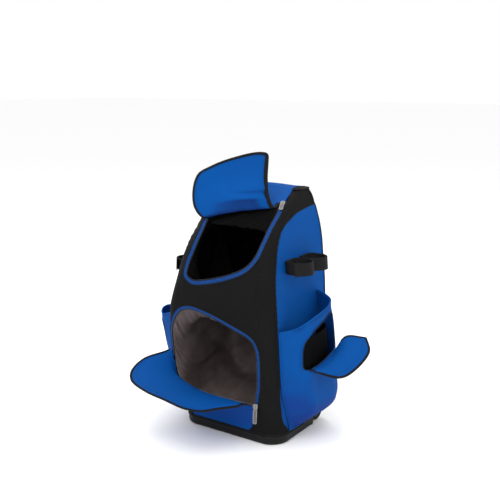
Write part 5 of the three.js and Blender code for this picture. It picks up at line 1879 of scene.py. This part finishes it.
class KITBAG_OT_loops(bpy.types.Operator):
    """Strap loops on the sides"""
    bl_idname = "kitbag.loops"
    bl_label = "Strap loops"

    def execute(self, context):
        """Makes it in the open scene."""
        make_loops()
        return {"FINISHED"}


class KITBAG_OT_piping(bpy.types.Operator):
    """Rolled seams and pouch hems"""
    bl_idname = "kitbag.piping"
    bl_label = "Piping"

    def execute(self, context):
        """Makes it in the open scene."""
        make_piping()
        return {"FINISHED"}


class KITBAG_OT_stitches(bpy.types.Operator):
    """Rows of thread along the seams"""
    bl_idname = "kitbag.stitches"
    bl_label = "Stitches"

    def execute(self, context):
        """Makes it in the open scene."""
        make_stitches()
        return {"FINISHED"}


class KITBAG_OT_pulls(bpy.types.Operator):
    """Sliders and tabs"""
    bl_idname = "kitbag.pulls"
    bl_label = "Zip pulls"

    def execute(self, context):
        """Makes it in the open scene."""
        make_pulls()
        return {"FINISHED"}


class KITBAG_OT_handle(bpy.types.Operator):
    """Channel, tubes and grip"""
    bl_idname = "kitbag.handle"
    bl_label = "Pull handle"

    def execute(self, context):
        """Makes it in the open scene."""
        make_handle()
        return {"FINISHED"}


OPERATORS = [
    KITBAG_OT_stage, KITBAG_OT_base, KITBAG_OT_wheels, KITBAG_OT_front,
    KITBAG_OT_band, KITBAG_OT_sides, KITBAG_OT_back, KITBAG_OT_top,
    KITBAG_OT_zips, KITBAG_OT_lid, KITBAG_OT_shoe_door, KITBAG_OT_linings,
    KITBAG_OT_pouches, KITBAG_OT_pocket_flaps, KITBAG_OT_loops, KITBAG_OT_piping,
    KITBAG_OT_stitches, KITBAG_OT_pulls, KITBAG_OT_handle,
]


class KITBAG_PT_panel(bpy.types.Panel):
    """Lists the bag's settings and makers"""
    bl_label = "Kit bag"
    bl_idname = "KITBAG_PT_panel"
    bl_space_type = "VIEW_3D"
    bl_region_type = "UI"
    bl_category = "Kit bag"

    def draw(self, context):
        """One row for each setting, then one button for each maker."""
        for key, kind in SETTINGS.items():
            for name in kind.__annotations__:
                self.layout.prop(getattr(context.scene, key), name)
        for op in OPERATORS:
            self.layout.operator(op.bl_idname)


SETTINGS = {"kit_bag_sizes": KitBagSizes, "kit_bag_colours": KitBagColours, "kit_bag_stage": KitBagStage}
CLASSES = [*SETTINGS.values(), *OPERATORS, KITBAG_PT_panel]


def register():
    """Adds the classes, and the settings to the scene."""
    for cls in CLASSES:
        bpy.utils.register_class(cls)
    for key, kind in SETTINGS.items():
        setattr(bpy.types.Scene, key, bpy.props.PointerProperty(type=kind))


def unregister():
    """Takes the settings and the classes out again."""
    for key in SETTINGS:
        delattr(bpy.types.Scene, key)
    for cls in reversed(CLASSES):
        bpy.utils.unregister_class(cls)


def main():
    """Makes the bag piece by piece."""
    register()
    for op in OPERATORS:
        getattr(bpy.ops.kitbag, op.bl_idname.split(".")[1])()
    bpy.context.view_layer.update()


if __name__ == "__main__":
    main()
